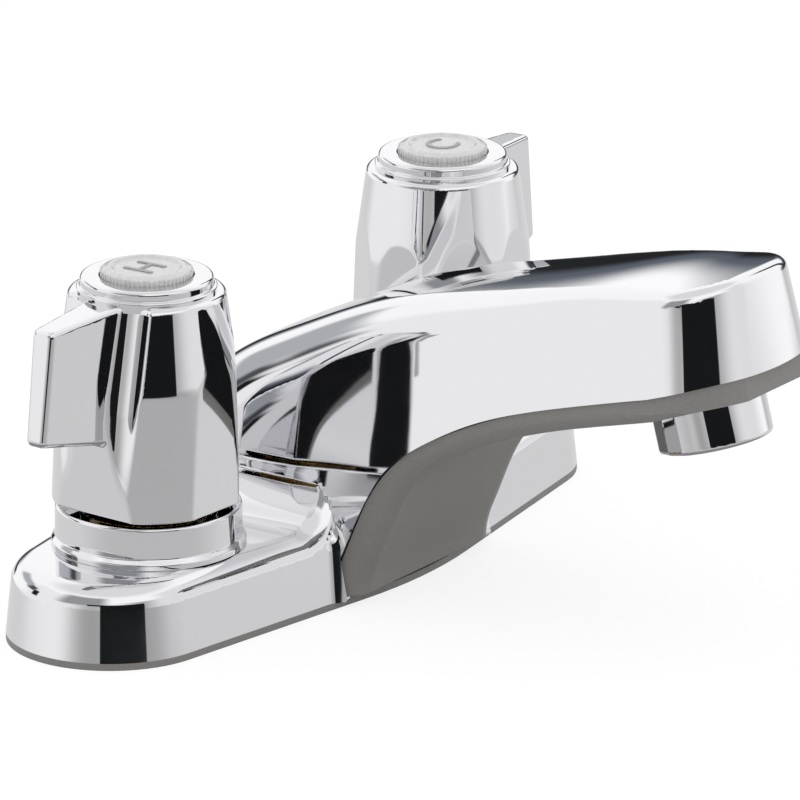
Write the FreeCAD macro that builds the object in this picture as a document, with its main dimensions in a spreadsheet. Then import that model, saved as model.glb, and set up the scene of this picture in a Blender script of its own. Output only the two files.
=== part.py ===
import FreeCAD, Part
import math
import os
import Sketcher

# A two-handle centreset basin faucet. X runs along the two handles, with the hot one at -X.
# The spout points to -Y and Z is up. The origin lies on the deck plane, midway between the
# handle axes. All lengths are in millimetres and all angles in degrees.

SIZES = {
    # Plan of the base
    "handle_spacing": 101.6,
    "end_centre": 63.0,
    "end_radius": 20.6,
    "side_taper": 9.0,
    "middle_radius": 110.0,
    # Chrome base shell
    "rim_height": 1.4,
    "base_height": 16.0,
    "base_draft": 6.0,
    "base_edge_round": 4.0,
    "shell_wall": 1.8,
    # Spout sections, from the deck to the tip: front edge, height, lean and depth of each
    "neck0_front": 30.5,
    "neck0_depth": 56.5,
    "neck1_front": 33.5,
    "neck1_height": 12.0,
    "neck1_lean": 8.0,
    "neck1_depth": 59.0,
    "neck2_front": 38.7,
    "neck2_height": 23.3,
    "neck2_lean": 17.5,
    "neck2_depth": 53.2,
    "neck3_front": 44.0,
    "neck3_height": 29.5,
    "neck3_lean": 29.0,
    "neck3_depth": 43.0,
    "neck4_front": 53.0,
    "neck4_height": 35.0,
    "neck4_lean": 44.5,
    "neck4_depth": 35.3,
    "neck5_front": 66.0,
    "neck5_height": 40.6,
    "neck5_lean": 61.0,
    "neck5_depth": 29.1,
    "neck6_front": 85.3,
    "neck6_height": 46.2,
    "neck6_lean": 74.0,
    "neck6_depth": 26.8,
    "neck7_front": 99.0,
    "neck7_height": 49.8,
    "neck7_lean": 77.5,
    "neck7_depth": 25.0,
    "neck8_front": 113.0,
    "neck8_height": 53.5,
    "neck8_lean": 80.0,
    "neck8_depth": 23.5,
    "neck9_front": 125.0,
    "neck9_height": 56.7,
    "neck9_lean": 81.5,
    "neck9_depth": 22.5,
    "root_low_half": 25.0,
    "tip_low_half": 21.3,
    "root_top_half": 26.0,
    "tip_top_half": 18.0,
    "root_top_round": 15.0,
    "tip_top_round": 2.5,
    "root_low_round": 5.0,
    "tip_low_round": 1.5,
    "spout_reach": 113.0,
    "tip_draft": 8.0,
    "tip_lean": 4.5,
    "tip_plan_height": 50.0,
    "tip_corner_round": 12.0,
    # Grey underbody
    "root_band": 5.6,
    "tip_band": 4.6,
    "band_inset": 0.6,
    "seam": 0.15,
    "flange_height": 4.0,
    "floor_thickness": 2.5,
    "shell_clearance": 0.3,
    # Valve bodies and their fixings
    "shank_radius": 10.4,
    "shank_length": 48.0,
    "shank_bore": 6.5,
    "shank_relief": 0.6,
    "supply_tail": 9.6,
    "shank_clearance": 0.4,
    "valve_radius": 11.5,
    "valve_bore": 9.0,
    "valve_top": 22.0,
    "valve_floor": 6.0,
    "valve_flange_radius": 14.0,
    "valve_flange_thickness": 2.5,
    "port_offset": 4.2,
    "port_radius": 3.2,
    "port_throat": 2.0,
    "port_depth": 5.0,
    "bonnet_nut_flats": 18.0,
    "bonnet_nut_height": 4.0,
    "bonnet_nut_reach": 4.5,
    "thread_fit": 0.05,
    "mounting_nut_flats": 27.0,
    "mounting_nut_height": 8.0,
    "mounting_nut_drop": 28.0,
    "mounting_washer_radius": 17.0,
    "mounting_washer_thickness": 1.6,
    # Chrome collar between base and handle
    "collar_radius": 18.6,
    "collar_top_radius": 18.1,
    "collar_height": 8.2,
    "collar_wall": 2.0,
    "collar_foot": 2.6,
    # Turning stem
    "stem_radius": 4.3,
    "stem_fit": 0.08,
    "stem_disc_radius": 8.7,
    "stem_disc_thickness": 6.5,
    "seat_height": 3.2,
    "seat_gap": 0.2,
    "stem_foot_gap": 0.6,
    "broach_length": 11.0,
    "broach_radius": 3.9,
    "broach_fit": 0.08,
    "broach_groove": 0.35,
    "broach_teeth": 16,
    "ring_section": 0.42,
    "sleeve_thickness": 2.3,
    "spring_wire": 0.5,
    "spring_turns": 3.5,
    # Handles
    "handle_gap": 1.1,
    "handle_height": 44.6,
    "handle_foot_radius": 18.7,
    "handle_shoulder_radius": 15.2,
    "handle_barrel_radius": 190.0,
    "handle_skirt_wall": 2.6,
    "skirt_foot_radius": 13.0,
    "skirt_top_radius": 11.6,
    "broad_flat_top": 15.2,
    "broad_flat_knee": 17.05,
    "broad_flat_knee_drop": 14.0,
    "broad_flat_foot": 17.2,
    "narrow_flat_top": 15.35,
    "narrow_flat_knee": 16.62,
    "narrow_flat_knee_drop": 9.5,
    "narrow_flat_foot": 16.85,
    "scoop_top": 12.6,
    "scoop_waist": 15.0,
    "scoop_waist_drop": 23.0,
    "scoop_end": 17.0,
    "scoop_end_drop": 30.0,
    "scoop_foot": 16.2,
    "knee_round": 40.0,
    "scoop_round": 6.0,
    "hub_radius": 7.0,
    "hub_drop": 24.0,
    "platform_radius": 12.9,
    "platform_lift": 2.0,
    "cove_radius": 13.6,
    "cove_lift": 0.9,
    "button_radius": 9.02,
    "button_lift": 1.6,
    "button_depth": 3.3,
    "button_bevel": 0.7,
    "button_fit": 0.15,
    "index_thickness": 0.5,
    "screw_head_radius": 3.9,
    "screw_head_height": 2.6,
    "screw_radius": 2.1,
    "screw_reach": 14.0,
    "screw_seat_drop": 13.0,
    "wing_reach_top": 31.2,
    "wing_reach_low": 34.0,
    "wing_top_drop": 1.2,
    "wing_low_drop": 23.5,
    "wing_root_drop": 27.6,
    "wing_root_thickness": 8.6,
    "wing_end_thickness": 4.5,
    "wing_edge_round": 1.3,
    "wing_turn": 4.0,
    # Water ways
    "tube_radius": 4.75,
    "tube_wall": 0.75,
    "tube_height": 8.9,
    "block_half": 8.0,
    "block_top": 19.0,
    "block_foot": 4.0,
    "tube_rise": 36.0,
    "tube_elbow_y": 44.0,
    "tube_elbow_z": 57.0,
    "tube_bend": 7.0,
    # Outlet and aerator, on one axis that leans forward
    "outlet_reach": 97.4,
    "outlet_height": 40.1,
    "outlet_lean": 15.0,
    "nozzle_radius": 9.5,
    "nozzle_start": 6.0,
    "nozzle_end": 18.0,
    "nozzle_bore": 6.0,
    "aerator_radius": 11.2,
    "aerator_height": 9.0,
    "aerator_lip": 1.2,
    "aerator_round": 1.0,
    "insert_thickness": 3.0,
    "washer_thickness": 1.5,
}


class Measure:
    """A length of the sheet, or one worked out from the sheet, with its number and its formula."""

    def __init__(self, number, formula):
        self.number = float(number)
        self.formula = formula

    def __add__(self, other):
        other = measure(other)
        return Measure(self.number + other.number, "(%s + %s)" % (self.formula, other.formula))

    def __sub__(self, other):
        other = measure(other)
        return Measure(self.number - other.number, "(%s - %s)" % (self.formula, other.formula))

    def __mul__(self, other):
        other = measure(other)
        return Measure(self.number * other.number, "(%s * %s)" % (self.formula, other.formula))

    def __truediv__(self, other):
        other = measure(other)
        return Measure(self.number / other.number, "(%s / %s)" % (self.formula, other.formula))

    def __neg__(self):
        return Measure(-self.number, "(0 - %s)" % self.formula)

    def __radd__(self, other):
        return measure(other) + self

    def __rsub__(self, other):
        return measure(other) - self

    def __rmul__(self, other):
        return measure(other) * self

    def __rtruediv__(self, other):
        return measure(other) / self


def measure(amount):
    if isinstance(amount, Measure):
        return amount
    return Measure(amount, repr(float(amount)))


def sine(angle):
    return Measure(math.sin(math.radians(angle.number)), "sin(%s)" % angle.formula)


def cosine(angle):
    return Measure(math.cos(math.radians(angle.number)), "cos(%s)" % angle.formula)


def tangent(angle):
    return Measure(math.tan(math.radians(angle.number)), "tan(%s)" % angle.formula)


doc = FreeCAD.newDocument("BathroomFaucet")
sheet = doc.addObject("Spreadsheet::Sheet", "Sizes")


class Sheet:
    """The driving dimensions, read by name."""


dim = Sheet()
for row, (name, amount) in enumerate(SIZES.items(), start=1):
    sheet.set("A%d" % row, name)
    sheet.set("B%d" % row, str(amount))
    sheet.setAlias("B%d" % row, name)
    setattr(dim, name, Measure(amount, "Sizes." + name))
doc.recompute()


# Helpers for sketches and bodies

X_AXIS = FreeCAD.Vector(1, 0, 0)
Y_AXIS = FreeCAD.Vector(0, 1, 0)
Z_AXIS = FreeCAD.Vector(0, 0, 1)
ZERO = measure(0)


def bind(item, field, amount):
    item.setExpression(field, measure(amount).formula)


def new_body(label):
    body = doc.addObject("PartDesign::Body", label)
    body.Label = label
    return body


def origin_item(body, role):
    return [item for item in body.Origin.OriginFeatures if item.Role == role][0]


def new_sketch(body, name, role, shift=(0, 0, 0), lean=None, swing=0):
    """A sketch on one of the body's own planes, moved by shift, and leaned about its X axis or
    swung about its Y axis."""
    sketch = body.newObject("Sketcher::SketchObject", body.Label + "_" + name)
    sketch.AttachmentSupport = (origin_item(body, role), [""])
    sketch.MapMode = "FlatFace"
    shift = [measure(part) for part in shift]
    turn = 0.0 if lean is None else lean.number
    offset = FreeCAD.Vector(*[part.number for part in shift])
    rotation = FreeCAD.Rotation(Y_AXIS, swing) if swing else FreeCAD.Rotation(X_AXIS, turn)
    sketch.AttachmentOffset = FreeCAD.Placement(offset, rotation)
    for axis, part in zip("xyz", shift):
        if part.formula != ZERO.formula:
            bind(sketch, "AttachmentOffset.Base." + axis, part)
    if lean is not None and turn != 0.0:
        bind(sketch, "AttachmentOffset.Rotation.Angle", lean)
    return sketch


def pin_point(sketch, item, corner, x, y):
    """Hold one corner of a sketch at x, y from its origin."""
    for kind, amount in (("DistanceX", x), ("DistanceY", y)):
        rule = sketch.addConstraint(Sketcher.Constraint(kind, -1, 1, item, corner, amount.number))
        bind(sketch, "Constraints[%d]" % rule, amount)


def flat(x, y):
    return FreeCAD.Vector(x, y, 0)


def outline(sketch, corners, closed=True):
    """Draw straight runs. A corner is (x, y), or (x, y, radius) where it is rounded."""
    points = [(measure(c[0]), measure(c[1])) for c in corners]
    radii = [measure(c[2]) if len(c) > 2 else None for c in corners]
    spots = [flat(x.number, y.number) for x, y in points]
    count = len(corners)
    bends = []
    for k in range(count):
        if radii[k] is None:
            bends.append((spots[k], spots[k], None))
            continue
        back = (spots[k - 1] - spots[k]).normalize()
        ahead = (spots[(k + 1) % count] - spots[k]).normalize()
        half = back.getAngle(ahead) / 2
        run = radii[k].number / math.tan(half)
        centre = spots[k] + (back + ahead).normalize() * (radii[k].number / math.sin(half))
        bends.append((spots[k] + back * run, spots[k] + ahead * run, centre))
    sides = []
    for k in range(count if closed else count - 1):
        side = Part.LineSegment(bends[k][1], bends[(k + 1) % count][0])
        sides.append(sketch.addGeometry(side, False))
    if not closed:
        pin_point(sketch, sides[0], 1, *points[0])
        pin_point(sketch, sides[-1], 2, *points[-1])
    for k in range(0 if closed else 1, len(sides)):
        before = sides[k - 1]
        after = sides[k]
        if radii[k] is None:
            sketch.addConstraint(Sketcher.Constraint("Coincident", before, 2, after, 1))
            pin_point(sketch, after, 1, *points[k])
            continue
        entry, leave, centre = bends[k]
        start = entry - centre
        end = leave - centre
        left_turn = start.cross(end).z > 0
        first, last = (start, end) if left_turn else (end, start)
        circle = Part.Circle(centre, Z_AXIS, radii[k].number)
        arc = Part.ArcOfCircle(circle, math.atan2(first.y, first.x), math.atan2(last.y, last.x))
        item = sketch.addGeometry(arc, False)
        near, far = (1, 2) if left_turn else (2, 1)
        sketch.addConstraint(Sketcher.Constraint("Tangent", before, 2, item, near))
        sketch.addConstraint(Sketcher.Constraint("Tangent", item, far, after, 1))
        rule = sketch.addConstraint(Sketcher.Constraint("Radius", item, radii[k].number))
        bind(sketch, "Constraints[%d]" % rule, radii[k])
        peak = sketch.addGeometry(Part.Point(spots[k]), True)
        pin_point(sketch, peak, 1, *points[k])
        sketch.addConstraint(Sketcher.Constraint("PointOnObject", peak, 1, before))
        sketch.addConstraint(Sketcher.Constraint("PointOnObject", peak, 1, after))


def ring(sketch, radius, x=0, y=0):
    """Draw a circle of the sketch."""
    x = measure(x)
    y = measure(y)
    radius = measure(radius)
    item = sketch.addGeometry(Part.Circle(flat(x.number, y.number), Z_AXIS, radius.number), False)
    pin_point(sketch, item, 3, x, y)
    rule = sketch.addConstraint(Sketcher.Constraint("Radius", item, radius.number))
    bind(sketch, "Constraints[%d]" % rule, radius)


def arc_chain(sketch, corners):
    """Draw a closed outline of lines and arcs. A corner is (x, y), or (x, y, radius) where an arc
    of that radius runs to it, counter-clockwise, from the corner before."""
    points = [(measure(c[0]), measure(c[1])) for c in corners]
    spots = [flat(x.number, y.number) for x, y in points]
    count = len(corners)
    items = []
    for k in range(count):
        start = spots[k - 1]
        end = spots[k]
        if len(corners[k]) == 2:
            items.append(sketch.addGeometry(Part.LineSegment(start, end), False))
            continue
        radius = measure(corners[k][2])
        chord = end - start
        reach = math.sqrt(radius.number ** 2 - (chord.Length / 2) ** 2)
        side = flat(-chord.y, chord.x).normalize()
        centre = (start + end) * 0.5 + side * reach
        first = start - centre
        last = end - centre
        circle = Part.Circle(centre, Z_AXIS, radius.number)
        arc = Part.ArcOfCircle(circle, math.atan2(first.y, first.x), math.atan2(last.y, last.x))
        item = sketch.addGeometry(arc, False)
        rule = sketch.addConstraint(Sketcher.Constraint("Radius", item, radius.number))
        bind(sketch, "Constraints[%d]" % rule, radius)
        items.append(item)
    for k in range(count):
        after = items[(k + 1) % count]
        sketch.addConstraint(Sketcher.Constraint("Coincident", items[k], 2, after, 1))
        pin_point(sketch, items[k], 2, *points[k])


def pad(body, name, sketch, length, midplane=False, draft=None, down=False):
    feature = body.newObject("PartDesign::Pad", body.Label + "_" + name)
    feature.Profile = sketch
    bind(feature, "Length", length)
    feature.Midplane = midplane
    feature.Reversed = down
    if draft is not None:
        bind(feature, "TaperAngle", draft)
    return feature


def pocket(body, name, sketch, length=None, down=False, midplane=False):
    """A cut from the sketch, to a length or right through, against the sketch's normal
    unless down is set."""
    feature = body.newObject("PartDesign::Pocket", body.Label + "_" + name)
    feature.Profile = sketch
    if length is None:
        feature.Type = "ThroughAll"
    else:
        bind(feature, "Length", length)
    feature.Midplane = midplane
    feature.Reversed = down
    return feature


def turned(body, name, corners, cut=False):
    """A solid, or a groove, of revolution about Z from a half outline of (radius, height)."""
    sketch = new_sketch(body, name + "_outline", "XZ_Plane")
    outline(sketch, corners)
    kind = "PartDesign::Groove" if cut else "PartDesign::Revolution"
    feature = body.newObject(kind, body.Label + "_" + name)
    feature.Profile = sketch
    feature.ReferenceAxis = (sketch, ["V_Axis"])
    feature.Angle = 360.0
    return feature


def edges_where(shape, test):
    return ["Edge%d" % (k + 1) for k, edge in enumerate(shape.Edges) if test(edge)]


def fillet(body, name, base, radius, test):
    doc.recompute()
    feature = body.newObject("PartDesign::Fillet", body.Label + "_" + name)
    feature.Base = (base, edges_where(base.Shape, test))
    bind(feature, "Radius", radius)
    return feature


def joined(label, kind, base, tool):
    """A Part boolean of two items."""
    item = doc.addObject("Part::" + kind, label)
    item.Label = label
    if kind == "MultiFuse":
        item.Shapes = [base, tool]
        item.Refine = True
    else:
        item.Base = base
        item.Tool = tool
    return item


sub_parts = []


def keep(item):
    sub_parts.append(item)
    return item


def place(item, x=0, y=0, z=0, turn=0, axis=Z_AXIS):
    """Set an item at x, y, z and turn it about an axis through that point."""
    turn = measure(turn)
    spot = [measure(part) for part in (x, y, z)]
    item.Placement = FreeCAD.Placement(FreeCAD.Vector(*[part.number for part in spot]),
                                       FreeCAD.Rotation(axis, turn.number))
    for name, part in zip("xyz", spot):
        bind(item, "Placement.Base." + name, part)
    if turn.formula != ZERO.formula:
        bind(item, "Placement.Rotation.Angle", turn)
    return item


# Plan of the base: two round ends, sides that taper towards them, and a gently round middle

def base_outline(sketch, inset):
    inset = measure(inset)
    slope = dim.side_taper
    end = dim.end_radius - inset
    middle = dim.middle_radius - inset
    end_x = dim.end_centre + end * sine(slope)
    end_y = end * cosine(slope)
    half_depth = (end + dim.end_centre * sine(slope)) / cosine(slope)
    middle_x = middle * sine(slope)
    middle_y = half_depth - middle / cosine(slope) + middle * cosine(slope)
    arc_chain(sketch, [
        (-middle_x, -middle_y),
        (middle_x, -middle_y, middle),
        (end_x, -end_y),
        (end_x, end_y, end),
        (middle_x, middle_y),
        (-middle_x, middle_y, middle),
        (-end_x, end_y),
        (-end_x, -end_y, end),
    ])


def base_block(body, inset, foot, top, draft=None):
    """A solid of the base's plan from one height to another."""
    sketch = new_sketch(body, "plan", "XY_Plane", (0, 0, foot))
    base_outline(sketch, inset)
    return pad(body, "block", sketch, top - foot, draft=draft)


# Spout: sections that lean over more and more from the deck to the tip

SECTIONS = len([name for name in SIZES if name.startswith("neck") and name.endswith("_front")])
LAST = SECTIONS - 1


def section_size(k, name):
    if name == "height" and k == 0:
        return dim.rim_height
    if name == "lean" and k == 0:
        return ZERO
    return getattr(dim, "neck%d_%s" % (k, name))


def band_top(k):
    """Level at which the chrome starts, above the front edge of a section."""
    return dim.root_band + (dim.tip_band - dim.root_band) * (k / LAST)


def spout_loft(body, low, high, inset, sections=SECTIONS):
    """Loft the spout's sections between two levels of each section, measured up from its front
    edge. low and high take the section's number, and inset moves the sides in."""
    inset = measure(inset)
    sketches = []
    for k in range(sections):
        along = k / LAST
        wide = (1 - along) ** 3
        soft = (1 - along ** 2) ** 2
        depth = section_size(k, "depth")
        low_half = dim.root_low_half + (dim.tip_low_half - dim.root_low_half) * along
        top_half = dim.tip_top_half + (dim.root_top_half - dim.tip_top_half) * wide
        top_round = dim.tip_top_round + (dim.root_top_round - dim.tip_top_round) * soft
        low_round = dim.root_low_round + (dim.tip_low_round - dim.root_low_round) * along
        lean_in = (low_half - top_half) / depth
        foot = measure(low(k))
        head = measure(high(k))
        foot_half = low_half - lean_in * foot - inset
        head_half = low_half - lean_in * head - inset
        sketch = new_sketch(body, "section%d" % k, "XY_Plane",
                            (0, -section_size(k, "front"), section_size(k, "height")),
                            section_size(k, "lean"))
        foot_round = [low_round] if foot.number == 0 else []
        head_round = [top_round] if head.number > depth.number / 2 else []
        outline(sketch, [
            (-foot_half, foot, *foot_round),
            (foot_half, foot, *foot_round),
            (head_half, head, *head_round),
            (-head_half, head, *head_round),
        ])
        sketches.append(sketch)
    feature = body.newObject("PartDesign::AdditiveLoft", body.Label + "_tongue")
    feature.Profile = sketches[0]
    feature.Sections = sketches[1:]
    feature.Ruled = False
    return feature


def tip_prism(label, inset):
    """A block with the spout's plan: round corners at the tip and walls that lean in, the
    tip's further than the sides. The plan is drawn on a leaned plane through the origin, and
    it widens back to the shoulder by half as much as the whole spout does."""
    inset = measure(inset)
    below = dim.tip_plan_height
    front_slope = tangent(dim.tip_draft + dim.tip_lean)
    rise = below * cosine(dim.tip_lean) - dim.spout_reach * sine(dim.tip_lean)
    spread = rise * tangent(dim.tip_draft)
    half = dim.tip_low_half + spread - inset
    reach = ((dim.spout_reach + below * front_slope) /
             (cosine(dim.tip_lean) + sine(dim.tip_lean) * front_slope) - inset)
    corner = dim.tip_corner_round + spread - inset
    wide = dim.root_low_half * 3
    shoulder = section_size(5, "front")
    shoulder_half = half + (dim.root_low_half - dim.tip_low_half) / 2
    body = new_body(label)
    sketch = new_sketch(body, "plan", "XY_Plane", lean=-dim.tip_lean)
    outline(sketch, [
        (-shoulder_half, -shoulder),
        (-half, -reach, corner),
        (half, -reach, corner),
        (shoulder_half, -shoulder),
        (wide, -shoulder),
        (wide, wide),
        (-wide, wide),
        (-wide, -shoulder),
    ])
    pad(body, "block", sketch, dim.tip_plan_height * 2, draft=-dim.tip_draft)
    return body


# Chrome shell: base and spout in one thin shell, open below

def spout_form(label, low, high, inset, sections=SECTIONS):
    """The spout between two levels of its sections, with its end trimmed to the tip's plan."""
    body = new_body(label + "_loft")
    spout_loft(body, low, high, inset, sections)
    return joined(label, "Common", body, tip_prism(label + "_tip", inset))


def base_form(label, inset, foot, edge_round):
    body = new_body(label)
    block = base_block(body, inset, foot, dim.base_height - inset, draft=-dim.base_draft)
    height = (dim.base_height - inset).number

    def top_edge(edge):
        return edge.BoundBox.ZMin > height - 0.05

    fillet(body, "edge_round", block, edge_round, top_edge)
    return body


def cylinder_cut(label, radius, foot, top, x=0):
    """A plain round cutter about a line parallel to Z."""
    item = doc.addObject("Part::Cylinder", label)
    bind(item, "Radius", radius)
    bind(item, "Height", top - foot)
    return place(item, x=x, z=foot)


HANDLE_X = dim.handle_spacing / 2
shell_top = dim.base_height


def shell_depth(k):
    return section_size(k, "depth")


def hollow_low(k):
    return band_top(k) - dim.flange_height


def hollow_high(k):
    return section_size(k, "depth") - dim.shell_wall


def notch_low(k):
    return -dim.root_band


def notch_high(k):
    return band_top(k)


spout_outside = spout_form("spout_outside", band_top, shell_depth, 0)
base_outside = base_form("base_outside", 0, dim.rim_height, dim.base_edge_round)
shell_outside = joined("shell_outside", "MultiFuse", spout_outside, base_outside)

spout_hollow = spout_form("spout_hollow", hollow_low, hollow_high, dim.shell_wall)
base_hollow = base_form("base_hollow", dim.shell_wall, dim.rim_height - dim.shell_wall,
                        dim.base_edge_round - dim.shell_wall)
shell_hollow = joined("shell_hollow", "MultiFuse", spout_hollow, base_hollow)
shell_skin = joined("shell_skin", "Cut", shell_outside, shell_hollow)

front_notch = spout_form("front_notch", notch_low, notch_high, -dim.seam, sections=4)
shell_open = joined("shell_open", "Cut", shell_skin, front_notch)

valve_holes = []
for side, sign in (("hot", -1), ("cold", 1)):
    valve_holes.append(cylinder_cut(side + "_shell_hole", dim.valve_radius + dim.shank_clearance,
                                    shell_top - dim.shell_wall * 2, shell_top * 2,
                                    x=HANDLE_X * sign))
shell_drilled = joined("shell_drilled", "Cut", shell_open, valve_holes[0])
chrome_shell = keep(joined("chrome_shell", "Cut", shell_drilled, valve_holes[1]))


# Grey underbody: one moulding with the rim plate, the pedestal and the spout's underside

def band_low(k):
    return ZERO


def band_high(k):
    return band_top(k) - dim.seam


def flange_low(k):
    return band_top(k) - dim.seam * 2


def flange_high(k):
    return band_top(k) + dim.flange_height


rim_plate = new_body("rim_plate")
base_block(rim_plate, 0, 0, dim.rim_height)

floor_plate = new_body("floor_plate")
base_block(floor_plate, dim.shell_wall + dim.shell_clearance, 0, dim.floor_thickness)

band = spout_form("band", band_low, band_high, dim.band_inset)
flange = spout_form("flange", flange_low, flange_high, dim.shell_wall + dim.shell_clearance)
under_plates = joined("under_plates", "MultiFuse", rim_plate, floor_plate)
under_spout = joined("under_spout", "MultiFuse", band, flange)
under_solid = joined("under_solid", "MultiFuse", under_plates, under_spout)


def drilled(label, item, cutters):
    """Cut a list of tools from an item."""
    for k, cutter in enumerate(cutters, start=1):
        last = k == len(cutters)
        item = joined(label if last else "%s_cut%d" % (label, k), "Cut", item, cutter)
    return item


# The outlet's own frame: origin at the middle of the aerator's mouth, Z up along its axis

def at_outlet(item):
    return place(item, y=-dim.outlet_reach, z=dim.outlet_height, turn=-dim.outlet_lean,
                 axis=X_AXIS)


nozzle_hole = new_body("nozzle_hole")
turned(nozzle_hole, "step", [
    (0, 0),
    (dim.aerator_radius + dim.shank_clearance, 0),
    (dim.aerator_radius + dim.shank_clearance, dim.aerator_height + dim.shank_clearance),
    (dim.nozzle_radius + dim.shank_clearance, dim.aerator_height + dim.shank_clearance),
    (dim.nozzle_radius + dim.shank_clearance, dim.nozzle_end),
    (0, dim.nozzle_end),
])
at_outlet(nozzle_hole)
shank_holes = []
for side, sign in (("hot", -1), ("cold", 1)):
    shank_holes.append(cylinder_cut(side + "_shank_hole", dim.shank_radius + dim.shank_clearance,
                                    -dim.floor_thickness, dim.floor_thickness * 2,
                                    x=HANDLE_X * sign))
underbody = keep(drilled("underbody", under_solid, shank_holes + [nozzle_hole]))


# Outlet nozzle, aerator and the copper water ways

nozzle = keep(new_body("spout_nozzle"))
turned(nozzle, "barrel", [
    (dim.tube_radius - dim.tube_wall, dim.nozzle_start + dim.insert_thickness * 2),
    (dim.nozzle_bore, dim.nozzle_start + dim.insert_thickness),
    (dim.nozzle_bore, dim.nozzle_start),
    (dim.nozzle_radius, dim.nozzle_start),
    (dim.nozzle_radius, dim.nozzle_end - dim.insert_thickness),
    (dim.tube_radius + dim.tube_wall * 2, dim.nozzle_end),
    (dim.tube_radius + dim.thread_fit, dim.nozzle_end),
    (dim.tube_radius + dim.thread_fit, dim.nozzle_end - dim.insert_thickness),
    (dim.tube_radius - dim.tube_wall, dim.nozzle_end - dim.insert_thickness),
])
at_outlet(nozzle)

aerator_bore = dim.nozzle_radius + dim.thread_fit
aerator = keep(new_body("aerator_housing"))
aerator_form = turned(aerator, "sleeve", [
    (aerator_bore - dim.aerator_lip, 0),
    (dim.aerator_radius - dim.aerator_round, 0),
    (dim.aerator_radius, dim.aerator_round),
    (dim.aerator_radius, dim.aerator_height),
    (aerator_bore, dim.aerator_height),
    (aerator_bore, dim.aerator_lip),
    (aerator_bore - dim.aerator_lip, dim.aerator_lip),
])
at_outlet(aerator)

insert_radius = dim.nozzle_radius - dim.thread_fit
insert = keep(new_body("aerator_insert"))
insert_sketch = new_sketch(insert, "disc", "XY_Plane", (0, 0, dim.aerator_lip))
ring(insert_sketch, insert_radius)
insert_disc = pad(insert, "plate", insert_sketch, dim.insert_thickness)
holes_sketch = new_sketch(insert, "slots", "XY_Plane", (0, 0, dim.aerator_lip))
ring(holes_sketch, dim.insert_thickness / 4, x=insert_radius * 0.7)
jet = pocket(insert, "jet", holes_sketch, dim.insert_thickness, down=True)
jets = insert.newObject("PartDesign::PolarPattern", "aerator_jets")
jets.Originals = [jet]
jets.Axis = (origin_item(insert, "Z_Axis"), [""])
jets.Angle = 360.0
jets.Occurrences = 12
insert.Tip = jets
at_outlet(insert)

washer = keep(new_body("aerator_washer"))
washer_foot = dim.aerator_lip + dim.insert_thickness
turned(washer, "ring", [
    (dim.nozzle_bore, washer_foot),
    (insert_radius, washer_foot),
    (insert_radius, washer_foot + dim.washer_thickness),
    (dim.nozzle_bore, washer_foot + dim.washer_thickness),
])
at_outlet(washer)


def tube_section(sketch, height=0):
    ring(sketch, dim.tube_radius, y=height)
    ring(sketch, dim.tube_radius - dim.tube_wall, y=height)


tube_seat = dim.insert_thickness - dim.thread_fit
nozzle_top_y = dim.nozzle_end * sine(dim.outlet_lean) - dim.outlet_reach
nozzle_top_z = dim.outlet_height + dim.nozzle_end * cosine(dim.outlet_lean)
elbow_y = nozzle_top_y + dim.tube_bend * sine(dim.outlet_lean)
elbow_z = nozzle_top_z + dim.tube_bend * cosine(dim.outlet_lean)
tube_start = dim.block_top - dim.block_foot

spout_tube = keep(new_body("spout_tube"))
tube_ring = new_sketch(spout_tube, "ring", "XY_Plane", (0, 0, tube_start))
tube_section(tube_ring)
tube_path = new_sketch(spout_tube, "path", "YZ_Plane")
outline(tube_path, [
    (0, tube_start),
    (0, dim.tube_rise, dim.tube_bend * 2),
    (-dim.tube_elbow_y, dim.tube_elbow_z, dim.tube_bend * 2),
    (elbow_y, elbow_z, dim.tube_bend),
    (nozzle_top_y - tube_seat * sine(dim.outlet_lean),
     nozzle_top_z - tube_seat * cosine(dim.outlet_lean)),
], closed=False)
tube_sweep = spout_tube.newObject("PartDesign::AdditivePipe", "spout_tube_sweep")
tube_sweep.Profile = tube_ring
tube_sweep.Spine = tube_path

# Brass mixing block: both cross tubes enter its sides and the spout tube its top
block = keep(new_body("mixing_block"))
block_sketch = new_sketch(block, "square", "XY_Plane", (0, 0, dim.block_foot))
outline(block_sketch, [
    (-dim.block_half, -dim.block_half),
    (dim.block_half, -dim.block_half),
    (dim.block_half, dim.block_half),
    (-dim.block_half, dim.block_half),
])
pad(block, "cube", block_sketch, dim.block_top - dim.block_foot)
cross_sketch = new_sketch(block, "cross", "YZ_Plane")
ring(cross_sketch, dim.tube_radius + dim.thread_fit, y=dim.tube_height)
pocket(block, "cross_bore", cross_sketch, dim.block_half * 4, midplane=True)
top_sketch = new_sketch(block, "top", "XY_Plane", (0, 0, tube_start - dim.thread_fit))
ring(top_sketch, dim.tube_radius + dim.thread_fit)
pocket(block, "top_bore", top_sketch, dim.block_top, down=True)

for side, sign in (("hot", -1), ("cold", 1)):
    tube = keep(new_body(side + "_cross_tube"))
    start = dim.block_half / 2
    end = HANDLE_X - dim.valve_bore - dim.tube_wall
    section = new_sketch(tube, "ring", "YZ_Plane", (0, 0, start))
    tube_section(section, dim.tube_height)
    pad(tube, "run", section, end - start)
    if sign < 0:
        place(tube, turn=180)


def hex_prism(body, name, flats, foot, height):
    """A six-sided prism, measured across its flats."""
    sketch = new_sketch(body, name + "_hexagon", "XY_Plane", (0, 0, foot))
    point = flats / 2 / cosine(measure(30))
    corners = []
    for k in range(6):
        turn = measure(60 * k + 30)
        corners.append((point * cosine(turn), point * sine(turn)))
    outline(sketch, corners)
    return pad(body, name, sketch, height)


# Valves: body with its threaded shank, seat, spring, stem, sleeve and bonnet nut

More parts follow.
